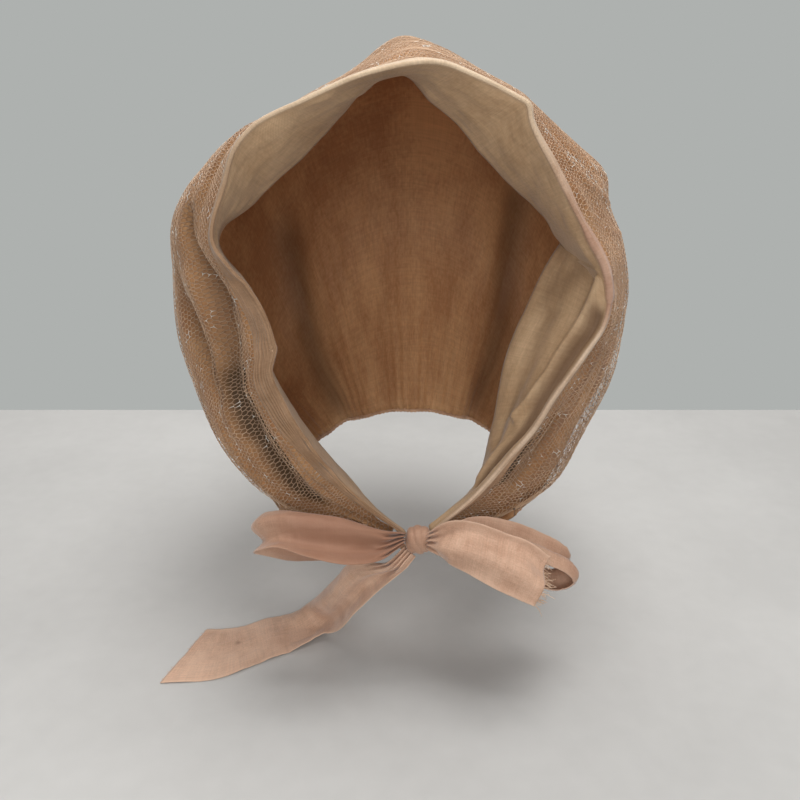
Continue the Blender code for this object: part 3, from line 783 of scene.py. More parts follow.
def net_lattice():
    """Points of the hexagonal net and, for each thread, its two ends.

    A lattice point is counted in half cell widths across and half cell radii back. Points
    whose back count leaves 1 on division by 3 have threads at 90, 210 and 330 degrees, the
    others at 30, 150 and 270 degrees.
    """
    radius = CELL / math.sqrt(3)
    columns = int(NET_CLOTH_WIDTH / CELL) + 1
    rows = int(WHOLE_LENGTH.max() / (1.5 * radius)) + 1
    row, column = np.meshgrid(np.arange(rows), np.arange(columns), indexing="ij")
    across = (2 * column + (row % 2)).ravel() + 1
    rearward = (2 + 3 * row).ravel()
    length_here = net_length(across * CELL / 2)
    kept = (rearward * radius / 2 < length_here + 0.3 * radius) & (across * CELL / 2 < NET_CLOTH_WIDTH)
    across, rearward = across[kept], rearward[kept]

    ring = [(0, 2), (-1, 1), (-1, -1), (0, -2), (1, -1), (1, 1)]
    keys = np.concatenate([np.stack([across + dx, rearward + dy], axis=1) for dx, dy in ring])
    lattice, index = np.unique(keys, axis=0, return_inverse=True)
    index = index.reshape(6, -1)
    top, upper_left, lower_left, bottom, lower_right, upper_right = index
    threads = np.concatenate([
        np.stack([top, upper_left, np.full_like(top, 1)], axis=1),
        np.stack([top, upper_right, np.full_like(top, 2)], axis=1),
        np.stack([lower_left, upper_left, np.full_like(top, 0)], axis=1),
        np.stack([lower_left, bottom, np.full_like(top, 2)], axis=1),
        np.stack([lower_right, bottom, np.full_like(top, 1)], axis=1),
        np.stack([lower_right, upper_right, np.full_like(top, 0)], axis=1),
    ])
    threads = np.unique(threads, axis=0)
    return lattice[:, 0] * CELL / 2, lattice[:, 1] * radius / 2, threads


def net_relief(share, back):
    """Height of the net's finer folds and gathers over its plain folds."""
    gather = ease((back - GATHER_START) / (1 - GATHER_START))
    pleats = np.cos(2 * np.pi * NECK_PLEATS * share + 2.2 * rumple(share, back, 33))
    lines = rumple(share * 0.22, back, 36, (11, 19, 31))
    relief = crease_height(share, back, WRINKLES) - NECK_PLEAT_DEPTH * gather * (1 - pleats)
    relief = relief + GATHER_LINE_DEPTH * lines * (1 - gather)
    relief = relief + NET_DEPTH * rumple(share, back * 0.5, 21, (6, 14, 27))
    return relief * ease(back / NET_FRONT_EASE)


# Slot of a thread at its far end, for each slot at its near end
FAR_SLOT = np.array([2, 0, 1])


def wandering_places(x, y, draw):
    """Places of the flat net's lattice, made uneven except at its edges."""
    limit = net_length(x)
    free = np.clip(np.minimum(y, limit - y) / (NET_EDGE_CELLS * CELL), 0, 1)
    wander = NET_WANDER * rumple(x / NET_WANDER_LENGTH, y / NET_WANDER_LENGTH, 11)
    x = x + free * (NET_JITTER * draw.standard_normal(len(x)) + wander)
    wander = NET_WANDER * rumple(x / NET_WANDER_LENGTH, y / NET_WANDER_LENGTH, 12)
    y = y + free * (NET_JITTER * draw.standard_normal(len(y)) + wander)
    return np.clip(x, 0, NET_CLOTH_WIDTH), np.clip(y, 0, limit)


def thread_directions(places, normals, threads):
    """Directions of the three threads that meet at each point, in the surface."""
    first, second, slot = threads.T
    towards = np.zeros((len(places), 3, 3))
    run = unit(places[second] - places[first])
    towards[first, slot] = run
    towards[second, FAR_SLOT[slot]] = -run
    missing = np.linalg.norm(towards, axis=2) < 0.5
    filler = -towards.sum(axis=1)
    towards[missing] = np.repeat(filler[:, None], 3, axis=1)[missing]
    towards -= normals[:, None] * (towards * normals[:, None]).sum(axis=2, keepdims=True)
    return unit(towards)


def joint_points(places, normals, towards, draw):
    """Four points where threads meet: three corners between them and a crest."""
    uneven = THREAD_UNEVENNESS * draw.standard_normal(len(places)).clip(-1.5, 1.5)
    left = np.cross(normals[:, None], towards)
    bisector = unit(left - np.roll(left, -1, axis=1))
    slant = np.maximum((bisector * left).sum(axis=2), 0.5)
    reach = (THREAD_HALF_WIDTH * (1 + uneven))[:, None] / slant
    lift = normals * THREAD_HALF_HEIGHT
    corners = places[:, None] + bisector * reach[:, :, None] - lift[:, None]
    return np.concatenate([corners, (places + lift)[:, None]], axis=1)


def thread_faces(threads, count):
    """Faces of the given threads, and the ones that close their ends and undersides."""
    a, b, k = threads.T
    m = FAR_SLOT[k]
    a_left, a_right, a_crest = 4 * a + k, 4 * a + (k - 1) % 3, 4 * a + 3
    b_left, b_right, b_crest = 4 * b + (m - 1) % 3, 4 * b + m, 4 * b + 3
    quads = np.concatenate([
        np.stack([a_right, b_right, b_crest, a_crest], axis=1),
        np.stack([a_crest, b_crest, b_left, a_left], axis=1),
        np.stack([a_left, b_left, b_right, a_right], axis=1),
    ])
    tied = np.zeros((count, 3), bool)
    tied[a, k] = True
    tied[b, m] = True
    joined = np.nonzero(tied.any(axis=1))[0]
    loose, side = np.nonzero(~tied & tied.any(axis=1)[:, None])
    triangles = np.concatenate([
        np.stack([4 * loose + side, 4 * loose + 3, 4 * loose + (side - 1) % 3], axis=1),
        np.stack([4 * joined, 4 * joined + 2, 4 * joined + 1], axis=1),
    ])
    return quads, triangles


def add_net():
    """Open net of welded threads, in pieces that meet along section lines."""
    x, y, threads = net_lattice()
    draw = np.random.default_rng(NET_SEED)
    x, y = wandering_places(x, y, draw)
    share, back = net_place(x, y)
    places = skin(share, back, THREAD_HALF_HEIGHT, net_relief(share, back))
    normals = surface_normal(share, back)
    points = joint_points(places, normals, thread_directions(places, normals, threads), draw)
    glint = glint_values(x, y, share, back)
    # Painted shade for the bottoms of deep folds, read by the net's material
    shade = fold_shade(share, back)

    pieces = []
    start = share[threads[:, 0]]
    for name, low, high in zip(NET_NAMES, NET_SPLITS[:-1], NET_SPLITS[1:]):
        mine = (start >= low) & ((start < high) | (high == 1.0))
        quads, triangles = thread_faces(threads[mine], len(x))
        used, order = np.unique(np.concatenate([quads.ravel(), triangles.ravel()]), return_inverse=True)
        piece = build_mesh(name, points.reshape(-1, 3)[used],
                           order[:quads.size].reshape(-1, 4), order[quads.size:].reshape(-1, 3))
        set_uv(piece, np.repeat(np.stack([x, y], axis=1), 4, axis=0)[used])
        set_value(piece, "glint", np.repeat(glint, 4)[used])
        set_value(piece, "fold_shade", np.repeat(shade, 4)[used])
        pieces.append(piece)
    return pieces


def cloth_places(rows):
    """Distances along and across a grid of points, in metres."""
    along = np.linalg.norm(np.diff(rows, axis=1), axis=2).mean(axis=0)
    across = np.linalg.norm(np.diff(rows, axis=0), axis=2).mean(axis=1)
    u = np.concatenate([[0], np.cumsum(along)])
    v = np.concatenate([[0], np.cumsum(across)])
    return np.stack(np.meshgrid(u, v), axis=2)


def add_lining():
    """Thin silk hood inside the net, gathered into the neck and sunk at its hollows."""
    shares = np.linspace(LINING_FRONT[0][0], LINING_FRONT[-1][0], LINING_ACROSS)
    front = read_straight(LINING_FRONT, shares)
    slack = read_straight(SLACK, shares)
    rows, pocket_shades, shades = [], [], []
    for step in np.linspace(0, 1, LINING_ROWS) ** LINING_ROW_CROWDING:
        back = front + (1 - front) * step
        past_front = ease((back - front) / LINING_EASE)
        looseness = np.sin(np.pi * np.minimum(back / SLACK_ENDS, 1.0)) * past_front
        inset = LINING_FRONT_INSET + (LINING_INSET - LINING_FRONT_INSET) * past_front
        inset = inset + LINING_SLACK * slack * looseness
        hollow = crease_height(shares, back, LINING_FOLDS)
        relief = net_relief(shares, back) - LINING_RUMPLE * (1 + rumple(shares, back * 0.4, 31, (9, 23, 41)))
        rows.append(skin(shares, back, inset, relief + hollow))
        # Painted shade in the hollow and the slit
        pocket_shades.append(np.clip(crease_height(shares, back, POCKET_SHADES), 0, 1))
        # Painted shade at the bottoms of deep folds
        shades.append(fold_shade(shares, back))
    rows = np.array(rows)
    made = add_sheet("lining_silk", rows, cloth_places(rows), LINING_WALL, -1.0)
    set_value(made, "pocket_shade", np.concatenate(pocket_shades))
    set_value(made, "fold_shade", np.concatenate(shades))
    return made


FLAP_EDGE_BELOW_PLEAT = [row for row in FLAP_EDGE if row[0] >= LOWER_FLAP_FROM]
BAND_LEG_STEPS = np.linspace(1, BAND_LEG_END, BAND_LEG_ROWS)
BAND_FLAP_STEPS = np.linspace(0, 1, BAND_FLAP_ROWS + 1)[1:]

# Creases of the band's inner flap: height inward, half width, then the (share, step) places
# that the crease passes
FLAP_CREASES = [
    (0.0056, 0.0062, [(0.750, 0.08), (0.768, 0.15), (0.785, 0.19), (0.800, 0.19), (0.825, 0.19),
                      (0.850, 0.25), (0.862, 0.36)]),
    (-0.0020, 0.0060, [(0.775, 0.04), (0.800, 0.05), (0.830, 0.05), (0.860, 0.08), (0.900, 0.18),
                       (0.940, 0.28)]),
    (-0.0024, 0.014, [(0.790, 0.66), (0.825, 0.62), (0.852, 0.66), (0.885, 0.60)]),
    (0.0018, 0.012, [(0.870, 0.58), (0.895, 0.46), (0.930, 0.46)]),
    (0.0011, 0.016, [(0.575, 0.20), (0.588, 0.60), (0.600, 0.95)]),
    (0.0010, 0.014, [(0.400, 0.15), (0.385, 0.55), (0.365, 0.90)]),
    (-0.0012, 0.013, [(0.640, 0.25), (0.655, 0.60), (0.668, 0.90)]),
    (0.0009, 0.010, [(0.300, 0.10), (0.330, 0.50), (0.342, 0.90)]),
    (0.0010, 0.010, [(0.690, 0.15), (0.712, 0.40), (0.722, 0.70)]),
    (0.0010, 0.009, [(0.440, 0.10), (0.452, 0.50), (0.470, 0.90)]),
]
FLAP_STEP_LENGTH = 0.10

# Painted shade in the flap's creases: amount, half width, then the (share, step) places
FLAP_SHADES = [
    (1.10, 0.0072, [(0.774, 0.07), (0.800, 0.09), (0.830, 0.09), (0.862, 0.14), (0.900, 0.22),
                    (0.940, 0.30)]),
    (0.45, 0.0120, [(0.745, 0.35), (0.760, 0.55), (0.775, 0.75)]),
    (0.35, 0.0080, [(0.790, 0.66), (0.825, 0.62), (0.852, 0.66), (0.885, 0.60)]),
]

# Inward bow of the flap: share, metres
FLAP_BOW = [
    (0.00, 0.0002),
    (0.27, 0.0000),
    (0.36, 0.0020),
    (1.00, 0.0020),
]


def flap_creases(shares, step, creases):
    """Summed height of creases that run along routes on the flap."""
    scale = (1.0, FLAP_STEP_LENGTH)
    place = np.stack([shares, np.full(len(shares), step)], axis=1) * scale
    return summed_folds(place, creases, scale)


def flap_relief(shares, step):
    """Inward height of the flap's creases and unevenness."""
    total = flap_creases(shares, step, FLAP_CREASES)
    total += FLAP_RUMPLE * rumple(shares * 1.6, np.full(len(shares), step * 0.25), 41, (7, 15, 29))
    return total * ease(step / 0.10)


def flap_shade(shares, step):
    """How much painted shade darkens a place in the flap's creases, from 0 to 1."""
    return np.clip(flap_creases(shares, step, FLAP_SHADES), 0.0, 1.0)


def band_rows(shares, lower):
    """Rows of the band from its outer edge over the fold to the flap's free edge."""
    zero = np.zeros(len(shares))
    outward = surface_normal(shares, zero)
    corners = sum(height * np.exp(-np.abs(shares - at) / RIM_CORNER_WIDTH) for at, height in RIM_CORNERS)
    edge = skin(shares, zero) - outward * corners[:, None]
    strip = read_straight(STRIP, shares)
    fold_depth = read_straight(STRIP, shares, 2)
    rearward = unit(skin(shares, strip) - edge)
    over = ease((shares - PLEAT_LIFT_START) / PLEAT_LIFT_RUN)
    narrowed = np.clip((shares - PLEAT_START) / (PLEAT_END - PLEAT_START), 0, 1)
    bows = read_straight(FLAP_BOW, shares)
    tucked = ease((shares - PLEAT_TUCK_START) / PLEAT_TUCK_RUN)
    over_lift = 0.0 if lower else over * (PLEAT_LIFT - (PLEAT_LIFT + PLEAT_TUCK) * tucked)
    lift = zero + BAND_CLEARANCE + BAND_WALL / 2 + over_lift
    turn_radius = BAND_RIM_INSET + lift
    middle = edge - outward * BAND_RIM_INSET

    rows = []
    wave = 1 + BAND_UNEVENNESS * rumple(shares * 1.4, zero, 51, (9, 21, 40))
    for step in BAND_LEG_STEPS:
        back = strip * step * wave
        turns = 2 * np.pi * STRIP_FOLDS * step + 1.6 * rumple(shares * 1.2, zero + step * 0.2, 53, (5, 11))
        uneven = fold_depth * (1 + np.sin(turns)) * ease((1 - step) / 0.1)
        uneven = uneven - corners * (1 - step) ** 2
        rows.append(skin(shares, back, -lift, net_relief(shares, back) + uneven))
    for angle in np.radians(np.linspace(*BAND_TURN_ANGLES, BAND_TURN_ROWS)):
        reach = outward * np.sin(angle) - rearward * np.cos(angle)
        rows.append(middle + turn_radius[:, None] * reach)
    start = rows[-1]
    free = read_table(FLAP_EDGE, shares)
    if lower:
        hidden = read_table(LOWER_FLAP_EDGE + FLAP_EDGE_BELOW_PLEAT, shares)
        free = np.where(shares[:, None] < FLAP_EDGE_BELOW_PLEAT[0][0], hidden, free)
    else:
        corner = read_table(FLAP_EDGE, np.array([PLEAT_START]))
        free = np.where(narrowed[:, None] > 0, corner + (start[-1:] - corner) * narrowed[:, None], free)
    span = free - start
    bow = unit(np.cross(np.gradient(read_table(FLAP_EDGE, shares), axis=0), span))
    flap = []
    for step in BAND_FLAP_STEPS:
        raised = bows * np.sin(np.pi * step) + flap_relief(shares, step)
        if not lower:
            raised = raised * (1 - over) + over * PLEAT_RAISE * ease(step / 0.15) * (1 - narrowed)
        flap.append(start + span * step - bow * raised[:, None])
    return np.array(rows), np.array(flap)


def add_band(name, first, last, lower):
    """One stretch of the face band, from one share to another."""
    shares = np.linspace(first, last, int((last - first) * BAND_COLUMNS_PER_SHARE))
    outer, flap = band_rows(shares, lower)
    rows = np.concatenate([outer, flap])[::-1]
    made = add_sheet(name, rows, cloth_places(rows), BAND_WALL)
    strip = np.concatenate([np.ones(len(outer) - 2), [0.7, 0.3], np.zeros(len(flap))])[::-1]
    set_value(made, "outer_strip", np.repeat(strip, len(shares)))
    set_value(made, "way_round", np.tile(shares, len(rows)))
    reach = read_straight(STRIP, shares) * BACK_LENGTH
    plain = np.zeros(len(shares))
    leg = [np.clip((reach * step - PALE_RIM_WIDTH) / PALE_RIM_WIDTH, 0, 1) for step in BAND_LEG_STEPS]
    leg += [plain] * (len(rows) - BAND_LEG_ROWS)
    set_value(made, "leg", np.concatenate(leg[::-1]))
    # Painted shade in the flap's creases, on the lower stretch only
    dark = [plain] * len(outer)
    dark += [flap_shade(shares, step) if lower else plain for step in BAND_FLAP_STEPS]
    set_value(made, "fold_shade", np.concatenate(dark[::-1]))
    free_edge = np.exp(-(np.arange(len(rows)) / 1.2) ** 2)
    set_value(made, "free_edge", np.repeat(free_edge, len(shares)))
    return made, rows


def run_length(points):
    """Length of the line through the points."""
    return float(np.linalg.norm(np.diff(points, axis=0), axis=1).sum())


def read_line(line, walked, at):
    """Points of a line at given places of its measure."""
    return np.array([np.interp(at, walked, line[:, k]) for k in range(3)]).T


def add_stitches(name, line, lifts, stitch, gap, radius):
    """Short hand stitches that follow a line and dip at their ends."""
    walked = np.concatenate([[0], np.cumsum(np.linalg.norm(np.diff(line, axis=0), axis=1))])
    draw = np.random.default_rng(len(name))
    routes, at = [], gap
    while at + stitch < walked[-1] - gap:
        length = stitch * draw.uniform(0.8, 1.15)
        places = np.linspace(at, at + length, len(STITCH_DIP))
        lift = unit(read_line(lifts, walked, places))
        height = radius * np.array(STITCH_DIP)
        routes.append(read_line(line, walked, places) + lift * height[:, None])
        at += length + gap * draw.uniform(0.8, 1.25)
    return add_tubes(name, routes, radius, 5)


def band_stitch_lines(name, rows):
    """Stitch line along the outer strip, and one on the flap just inside the fold."""
    across = unit(np.gradient(rows, axis=1))
    down = unit(np.gradient(rows, axis=0))
    faces_out = unit(np.cross(across, down))
    keep = slice(STITCH_SKIPPED_COLUMNS, rows.shape[1] - STITCH_SKIPPED_COLUMNS)
    made = []
    for part, row in (("outer", len(rows) - 2), ("flap", BAND_FLAP_ROWS - 4)):
        side = -faces_out[row, keep]
        line = rows[row, keep] + side * BAND_WALL / 2
        made.append(add_stitches(f"{name}_{part}_stitches", line, side, STITCH, STITCH_GAP, STITCH_RADIUS))
    return made


def add_hem():
    """Rolled lower edge of the net, wavy and wound with thread."""
    shares = np.linspace(0, 1, HEM_POINTS)
    below = np.ones(HEM_POINTS)
    edge = skin(shares, below, 0.0005)
    away = unit(np.cross(surface_normal(shares, below), np.gradient(edge, axis=0)))
    away = unit(away + (0.0, 0.0, -HEM_DROP))
    wave = HEM_WAVE * rumple(shares * 1.5, np.zeros(HEM_POINTS), 61, (14, 27, 45))
    route = edge + away * (HEM_SEAT + wave)[:, None]
    radii = HEM_RADIUS * (1 + HEM_TWIST_DEPTH * np.sin(2 * np.pi * HEM_TWISTS * shares)
                          + HEM_LUMPS * rumple(shares, np.zeros(HEM_POINTS), 62, (20, 60)))
    points, quads, caps = tube_parts(route, radii, HEM_SIDES)
    made = build_mesh("hem_roll", points, quads, caps)
    around = np.tile(np.arange(HEM_SIDES) / HEM_SIDES * 2 * np.pi * HEM_RADIUS, HEM_POINTS)
    along = np.repeat(shares * run_length(route), HEM_SIDES)
    set_uv(made, np.concatenate([np.stack([along, around], axis=1), [[0, 0], [along[-1], 0]]]))
    return made


def add_ribbon(name, sections, seed, ribbon_shade, crease):
    """Silk ribbon between its two edges, folded into pleats where the knot draws it in."""
    sections = np.array(sections)
    steps = (len(sections) - 1) * RIBBON_STEPS_PER_SECTION + 1
    edges = smooth(np.arange(len(sections)), sections, np.linspace(0, len(sections) - 1, steps))
    one, two = edges[:, :3], edges[:, 3:]
    width = np.linalg.norm(two - one, axis=1)
    along = unit(np.gradient((one + two) / 2, axis=0))
    face = unit(np.cross(along, two - one))
    fullness = np.maximum(RIBBON_WIDTH / np.maximum(width, 1e-6), 1.0)
    steepness = np.sqrt(2 * (fullness ** 2 - 1))
    near_knot = ease((RIBBON_KNOT_WIDTH - width) / RIBBON_KNOT_FADE)
    travel = np.linspace(0, 1, steps)
    rows = []
    for step in np.linspace(0, 1, RIBBON_ROWS):
        edge_wave = RIBBON_EDGE_WAVE * rumple(travel * 1.2, np.full(steps, step * 0.3), seed, (5, 11, 19))
        fold = np.zeros(steps)
        for pleats, share in ((SOFT_PLEATS, 1 - near_knot), (KNOT_PLEATS, near_knot)):
            depth = np.minimum(steepness * width / (2 * np.pi * pleats), PLEAT_DEPTH_LIMIT)
            fold += share * depth * np.sin(2 * np.pi * pleats * step + 0.5 * np.sin(5 * travel + seed))
        ridge = crease * np.exp(-((step - 0.46) / 0.07) ** 2) * ease((0.62 - travel) / 0.3)
        rows.append(one + (two - one) * step + face * (edge_wave + fold + ridge)[:, None])
    rows = np.array(rows)
    rows[:, :, 2] = np.maximum(rows[:, :, 2], FLOOR_HEIGHT + RIBBON_WALL)
    made = add_sheet(name, rows, cloth_places(rows), RIBBON_WALL)
    # Paler selvedge edges: partly the edge cords' own tone, partly a painted highlight
    rim = np.abs(np.linspace(-1, 1, RIBBON_ROWS)) ** 14
    set_value(made, "selvedge_and_highlight", np.repeat(rim, steps))
    # Painted shade along the ribbon, from its amount at the knot to that halfway
    at_knot, at_turn = ribbon_shade
    ribbon_shade_run = at_knot + (at_turn - at_knot) * np.sin(np.pi * travel) ** 8
    set_value(made, "ribbon_shade", np.tile(ribbon_shade_run, RIBBON_ROWS))
    away = np.linalg.norm(rows.reshape(-1, 3) - RIBBON_MARK, axis=1)
    set_value(made, "mark", np.exp(-(away / RIBBON_MARK_SIZE) ** 2))
    return made, rows


def add_frayed_threads(rows, name, count, length, seed):
    """Loose threads that stand out of the cut end of a ribbon's grid of points."""
    end = rows[:, -1]
    away = unit(end - rows[:, -6])
    draw = np.random.default_rng(seed)
    walked = np.linspace(0, 1, len(end))
    routes = []
    for _ in range(count):
        at = draw.uniform(0.02, 0.98)
        out = read_line(away, walked, at)
        root = read_line(end, walked, at) - out * FRAY_ROOT
        bend = draw.normal(0, 0.45, 3)
        reach = length * draw.uniform(0.35, 1.0)
        steps = np.linspace(0, 1, 6)[:, None]
        routes.append(root + out * reach * steps + bend * reach * 0.5 * steps ** 2)
    return add_tubes(name, routes, FRAY_RADIUS, 4)


# Knot of the bow: middle, half size and slanting wraps
KNOT_CENTRE = (0.0016, -0.0806, -0.1955)
KNOT_HALF_SIZE = (0.0060, 0.0054, 0.0064)
KNOT_SEGMENTS = 72
KNOT_RINGS = 48
KNOT_SLANT = 24
KNOT_WRAP_TURNS = 5.2
KNOT_WRAP_DEPTH = 0.11
KNOT_SQUARENESS = 0.55
KNOT_CLOTH_STRETCH = 1.4
# Painted shade on the knot, which sits under the bonnet
KNOT_RIBBON_SHADE = 0.55


def add_knot():
    """Knot of wrapped ribbon, with soft pleats that slant over it."""
    mesh = bpy.data.meshes.new("knot_wrap")
    shape = bmesh.new()
    bmesh.ops.create_uvsphere(shape, u_segments=KNOT_SEGMENTS, v_segments=KNOT_RINGS, radius=1.0)
    slant = math.radians(KNOT_SLANT)
    for vertex in shape.verts:
        x, y, z = vertex.co
        slanted = x * math.cos(slant) + z * math.sin(slant)
        pleat = abs(math.sin(KNOT_WRAP_TURNS * slanted + 0.7 * math.sin(2.3 * z + 1.0))) ** 0.6
        square = 1.0 / max(abs(x) ** 3 + abs(y) ** 3 + abs(z) ** 3, 1e-6) ** (1 / 3)
        swell = (0.86 + KNOT_WRAP_DEPTH * pleat) * (1 - KNOT_SQUARENESS + KNOT_SQUARENESS * square)
        vertex.co = [c + half * swell * v for c, half, v in zip(KNOT_CENTRE, KNOT_HALF_SIZE, (x, y, z))]
    shape.to_mesh(mesh)
    shape.free()
    mesh.shade_smooth()
    knot = bpy.data.objects.new("knot_wrap", mesh)
    bpy.context.scene.collection.objects.link(knot)
    flat = [(point.co.x * KNOT_CLOTH_STRETCH, point.co.z * KNOT_CLOTH_STRETCH) for point in mesh.vertices]
    set_uv(knot, np.array(flat))
    set_value(knot, "ribbon_shade", np.full(len(flat), KNOT_RIBBON_SHADE))
    return knot


def put(tree, kind, links=(), **settings):
    """New node with its settings; links are pairs of an input and a socket or value for it."""
    node = tree.nodes.new(kind)
    for name, value in settings.items():
        setattr(node, name, value)
    for place, source in links:
        if isinstance(source, bpy.types.NodeSocket):
            tree.links.new(source, node.inputs[place])
        else:
            node.inputs[place].default_value = source
    return node


def calculate(tree, operation, *values):
    return put(tree, "ShaderNodeMath", enumerate(values), operation=operation).outputs[0]


def blend_colours(tree, share, first, second, mode="MIX"):
    links = [(0, share), (6, first), (7, second)]
    return put(tree, "ShaderNodeMix", links, data_type="RGBA", blend_type=mode).outputs[2]


def stretch(tree, value, low, high, new_low=0.0, new_high=1.0):
    links = [("Value", value), ("From Min", low), ("From Max", high),
             ("To Min", new_low), ("To Max", new_high)]
    return put(tree, "ShaderNodeMapRange", links, clamp=True).outputs[0]


def start_group(name, inputs, outputs):
    """Empty shader group with its named inputs, its outputs and its two end nodes."""
    tree = bpy.data.node_groups.new(name, "ShaderNodeTree")
    for label, kind, value in inputs:
        socket = tree.interface.new_socket(label, in_out="INPUT", socket_type="NodeSocket" + kind)
        if value is not None:
            socket.default_value = value
    for label, kind in outputs:
        tree.interface.new_socket(label, in_out="OUTPUT", socket_type="NodeSocket" + kind)
    return tree, tree.nodes.new("NodeGroupInput").outputs, tree.nodes.new("NodeGroupOutput").inputs


def make_weave_group():
    """Plain weave with uneven threads: its height, and a shade from 0 to 1."""
    tree, given, result = start_group(
        "Plain weave",
        [("Place", "Vector", None), ("Thread pitch", "Float", 0.0004), ("Unevenness", "Float", 0.6)],
        [("Height", "Float"), ("Shade", "Float")],
    )
    turns = calculate(tree, "DIVIDE", math.pi, given["Thread pitch"])
    scaled = put(tree, "ShaderNodeVectorMath", [(0, given["Place"]), ("Scale", turns)], operation="SCALE")
    waves = put(tree, "ShaderNodeVectorMath", [(0, scaled.outputs[0])], operation="SINE")
    parts = put(tree, "ShaderNodeSeparateXYZ", [(0, waves.outputs[0])]).outputs
    basket = calculate(tree, "MULTIPLY", parts[0], parts[1])
    slubs = []
    for scale in ((60.0, 1700.0, 1.0), (1700.0, 60.0, 1.0)):
        run = put(tree, "ShaderNodeMapping", [("Vector", given["Place"]), ("Scale", scale)])
        links = [("Vector", run.outputs[0]), ("Scale", 1.0), ("Detail", 2.0)]
        slubs.append(put(tree, "ShaderNodeTexNoise", links).outputs[0])
    slub = calculate(tree, "MULTIPLY", calculate(tree, "ADD", *slubs), 0.5)
    raised = calculate(tree, "MULTIPLY", slub, given["Unevenness"])
    height = calculate(tree, "ADD", calculate(tree, "MULTIPLY", basket, 0.5), raised)
    tree.links.new(height, result["Height"])
    tree.links.new(stretch(tree, slub, 0.32, 0.68), result["Shade"])
    return tree


def make_tone_group():
    """Soft patches between two colours, with finer specks in them."""
    tree, given, result = start_group(
        "Mottled tone",
        [("Place", "Vector", None), ("Patches per metre", "Float", 40.0),
         ("Darker", "Color", (0.3, 0.2, 0.1, 1.0)), ("Paler", "Color", (0.6, 0.4, 0.3, 1.0)),
         ("Specks", "Float", 0.25)],
        [("Colour", "Color"), ("Mask", "Float")],
    )
    links = [("Vector", given["Place"]), ("Scale", given["Patches per metre"]), ("Detail", 5.0),
             ("Roughness", 0.62)]
    patches = put(tree, "ShaderNodeTexNoise", links).outputs[0]
    fine_scale = calculate(tree, "MULTIPLY", given["Patches per metre"], 22.0)
    links = [("Vector", given["Place"]), ("Scale", fine_scale), ("Detail", 2.0)]
    specks = put(tree, "ShaderNodeTexNoise", links).outputs[0]
    offset = calculate(tree, "MULTIPLY", calculate(tree, "SUBTRACT", specks, 0.5), given["Specks"])
    mask = stretch(tree, calculate(tree, "ADD", patches, offset), 0.36, 0.64)
    tree.links.new(blend_colours(tree, mask, given["Darker"], given["Paler"]), result["Colour"])
    tree.links.new(mask, result["Mask"])
    return tree


WEAVE = make_weave_group()
TONE = make_tone_group()

# Darker and paler tone of each cloth, as red, green and blue on a screen
NET_TONES = (188, 150, 116), (226, 190, 156)
LINING_TONES = (186, 134, 91), (216, 169, 122)
FLAP_TONES = (188, 154, 118), (210, 178, 142)
TAN_STRIP_TONES = (158, 123, 93), (186, 149, 117)
CREAM_STRIP_TONES = (212, 184, 152), (234, 210, 180)
PINK_STRIP_TONES = (186, 144, 120), (212, 174, 150)
PALE_STRIP_TONES = (202, 172, 144), (224, 198, 172)
RIBBON_TONES = (208, 168, 142), (230, 194, 168)
HEM_TONES = (182, 138, 106), (222, 182, 150)
THREAD_TONES = (196, 160, 130), (228, 198, 170)
FLOOR_TONES = (185, 185, 184), (194, 194, 193)

# Single tones that are laid over the cloths
# Painted shade laid over the bottoms of deep folds
FOLD_SHADE_TONE = (96, 66, 44)
METAL_TONE = (255, 250, 240)
# Painted shade of the dark hollow and slit in the lining
POCKET_SHADE_TONE = (100, 76, 52)
FLAP_EDGE_TONE = (150, 112, 78)
# Painted shade along the fine lines of the gathered outer strip
STRIP_LINE_SHADE_TONE = (112, 82, 56)
# Paler selvedge tone, partly the cords' own colour and partly a painted highlight
SELVEDGE_AND_HIGHLIGHT_TONE = (234, 200, 174)
# Painted shade of the ribbon, deepest by the knot under the bonnet
RIBBON_SHADE_TONE = (158, 112, 88)
SPOT_TONE = (112, 72, 52)


def colour(shown):
    """Shader colour from the red, green and blue, 0 to 255, that a screen would show."""
    parts = [part / 255 for part in shown]
    linear = [part / 12.92 if part <= 0.04045 else ((part + 0.055) / 1.055) ** 2.4 for part in parts]
    return (*linear, 1.0)


def start_material(name):
    material = bpy.data.materials.new(name)
    material.use_nodes = True
    tree = material.node_tree
    tree.nodes.clear()
    place = put(tree, "ShaderNodeUVMap", uv_map="cloth").outputs[0]
    return material, tree, place


def mottled(tree, place, patches, specks, tones):
    """Outputs of the mottled tone group, between a darker and a paler tone."""
    darker, paler = tones
    links = [("Place", place), ("Patches per metre", patches), ("Specks", specks),
             ("Darker", colour(darker)), ("Paler", colour(paler))]
    return put(tree, "ShaderNodeGroup", links, node_tree=TONE).outputs


def woven(tree, place, pitch):
    """Outputs of the plain weave group, with the given thread pitch."""
    return put(tree, "ShaderNodeGroup", [("Place", place), ("Thread pitch", pitch)], node_tree=WEAVE).outputs


def read_value(tree, name):
    return put(tree, "ShaderNodeAttribute", attribute_name=name).outputs["Fac"]


def painted_fold_shade(tree, base, amount):
    """Base colour with painted shade laid over the bottoms of deep folds."""
    share = calculate(tree, "MULTIPLY", read_value(tree, "fold_shade"), amount)
    return blend_colours(tree, share, base, colour(FOLD_SHADE_TONE))


def shaded(tree, base, shade):
    """Base colour with the uneven threads' lighter and darker streaks."""
    tone = stretch(tree, shade, 0.0, 1.0, 0.86, 1.08)
    grey = put(tree, "ShaderNodeCombineColor", [(0, tone), (1, tone), (2, tone)]).outputs[0]
    return blend_colours(tree, 1.0, base, grey, "MULTIPLY")


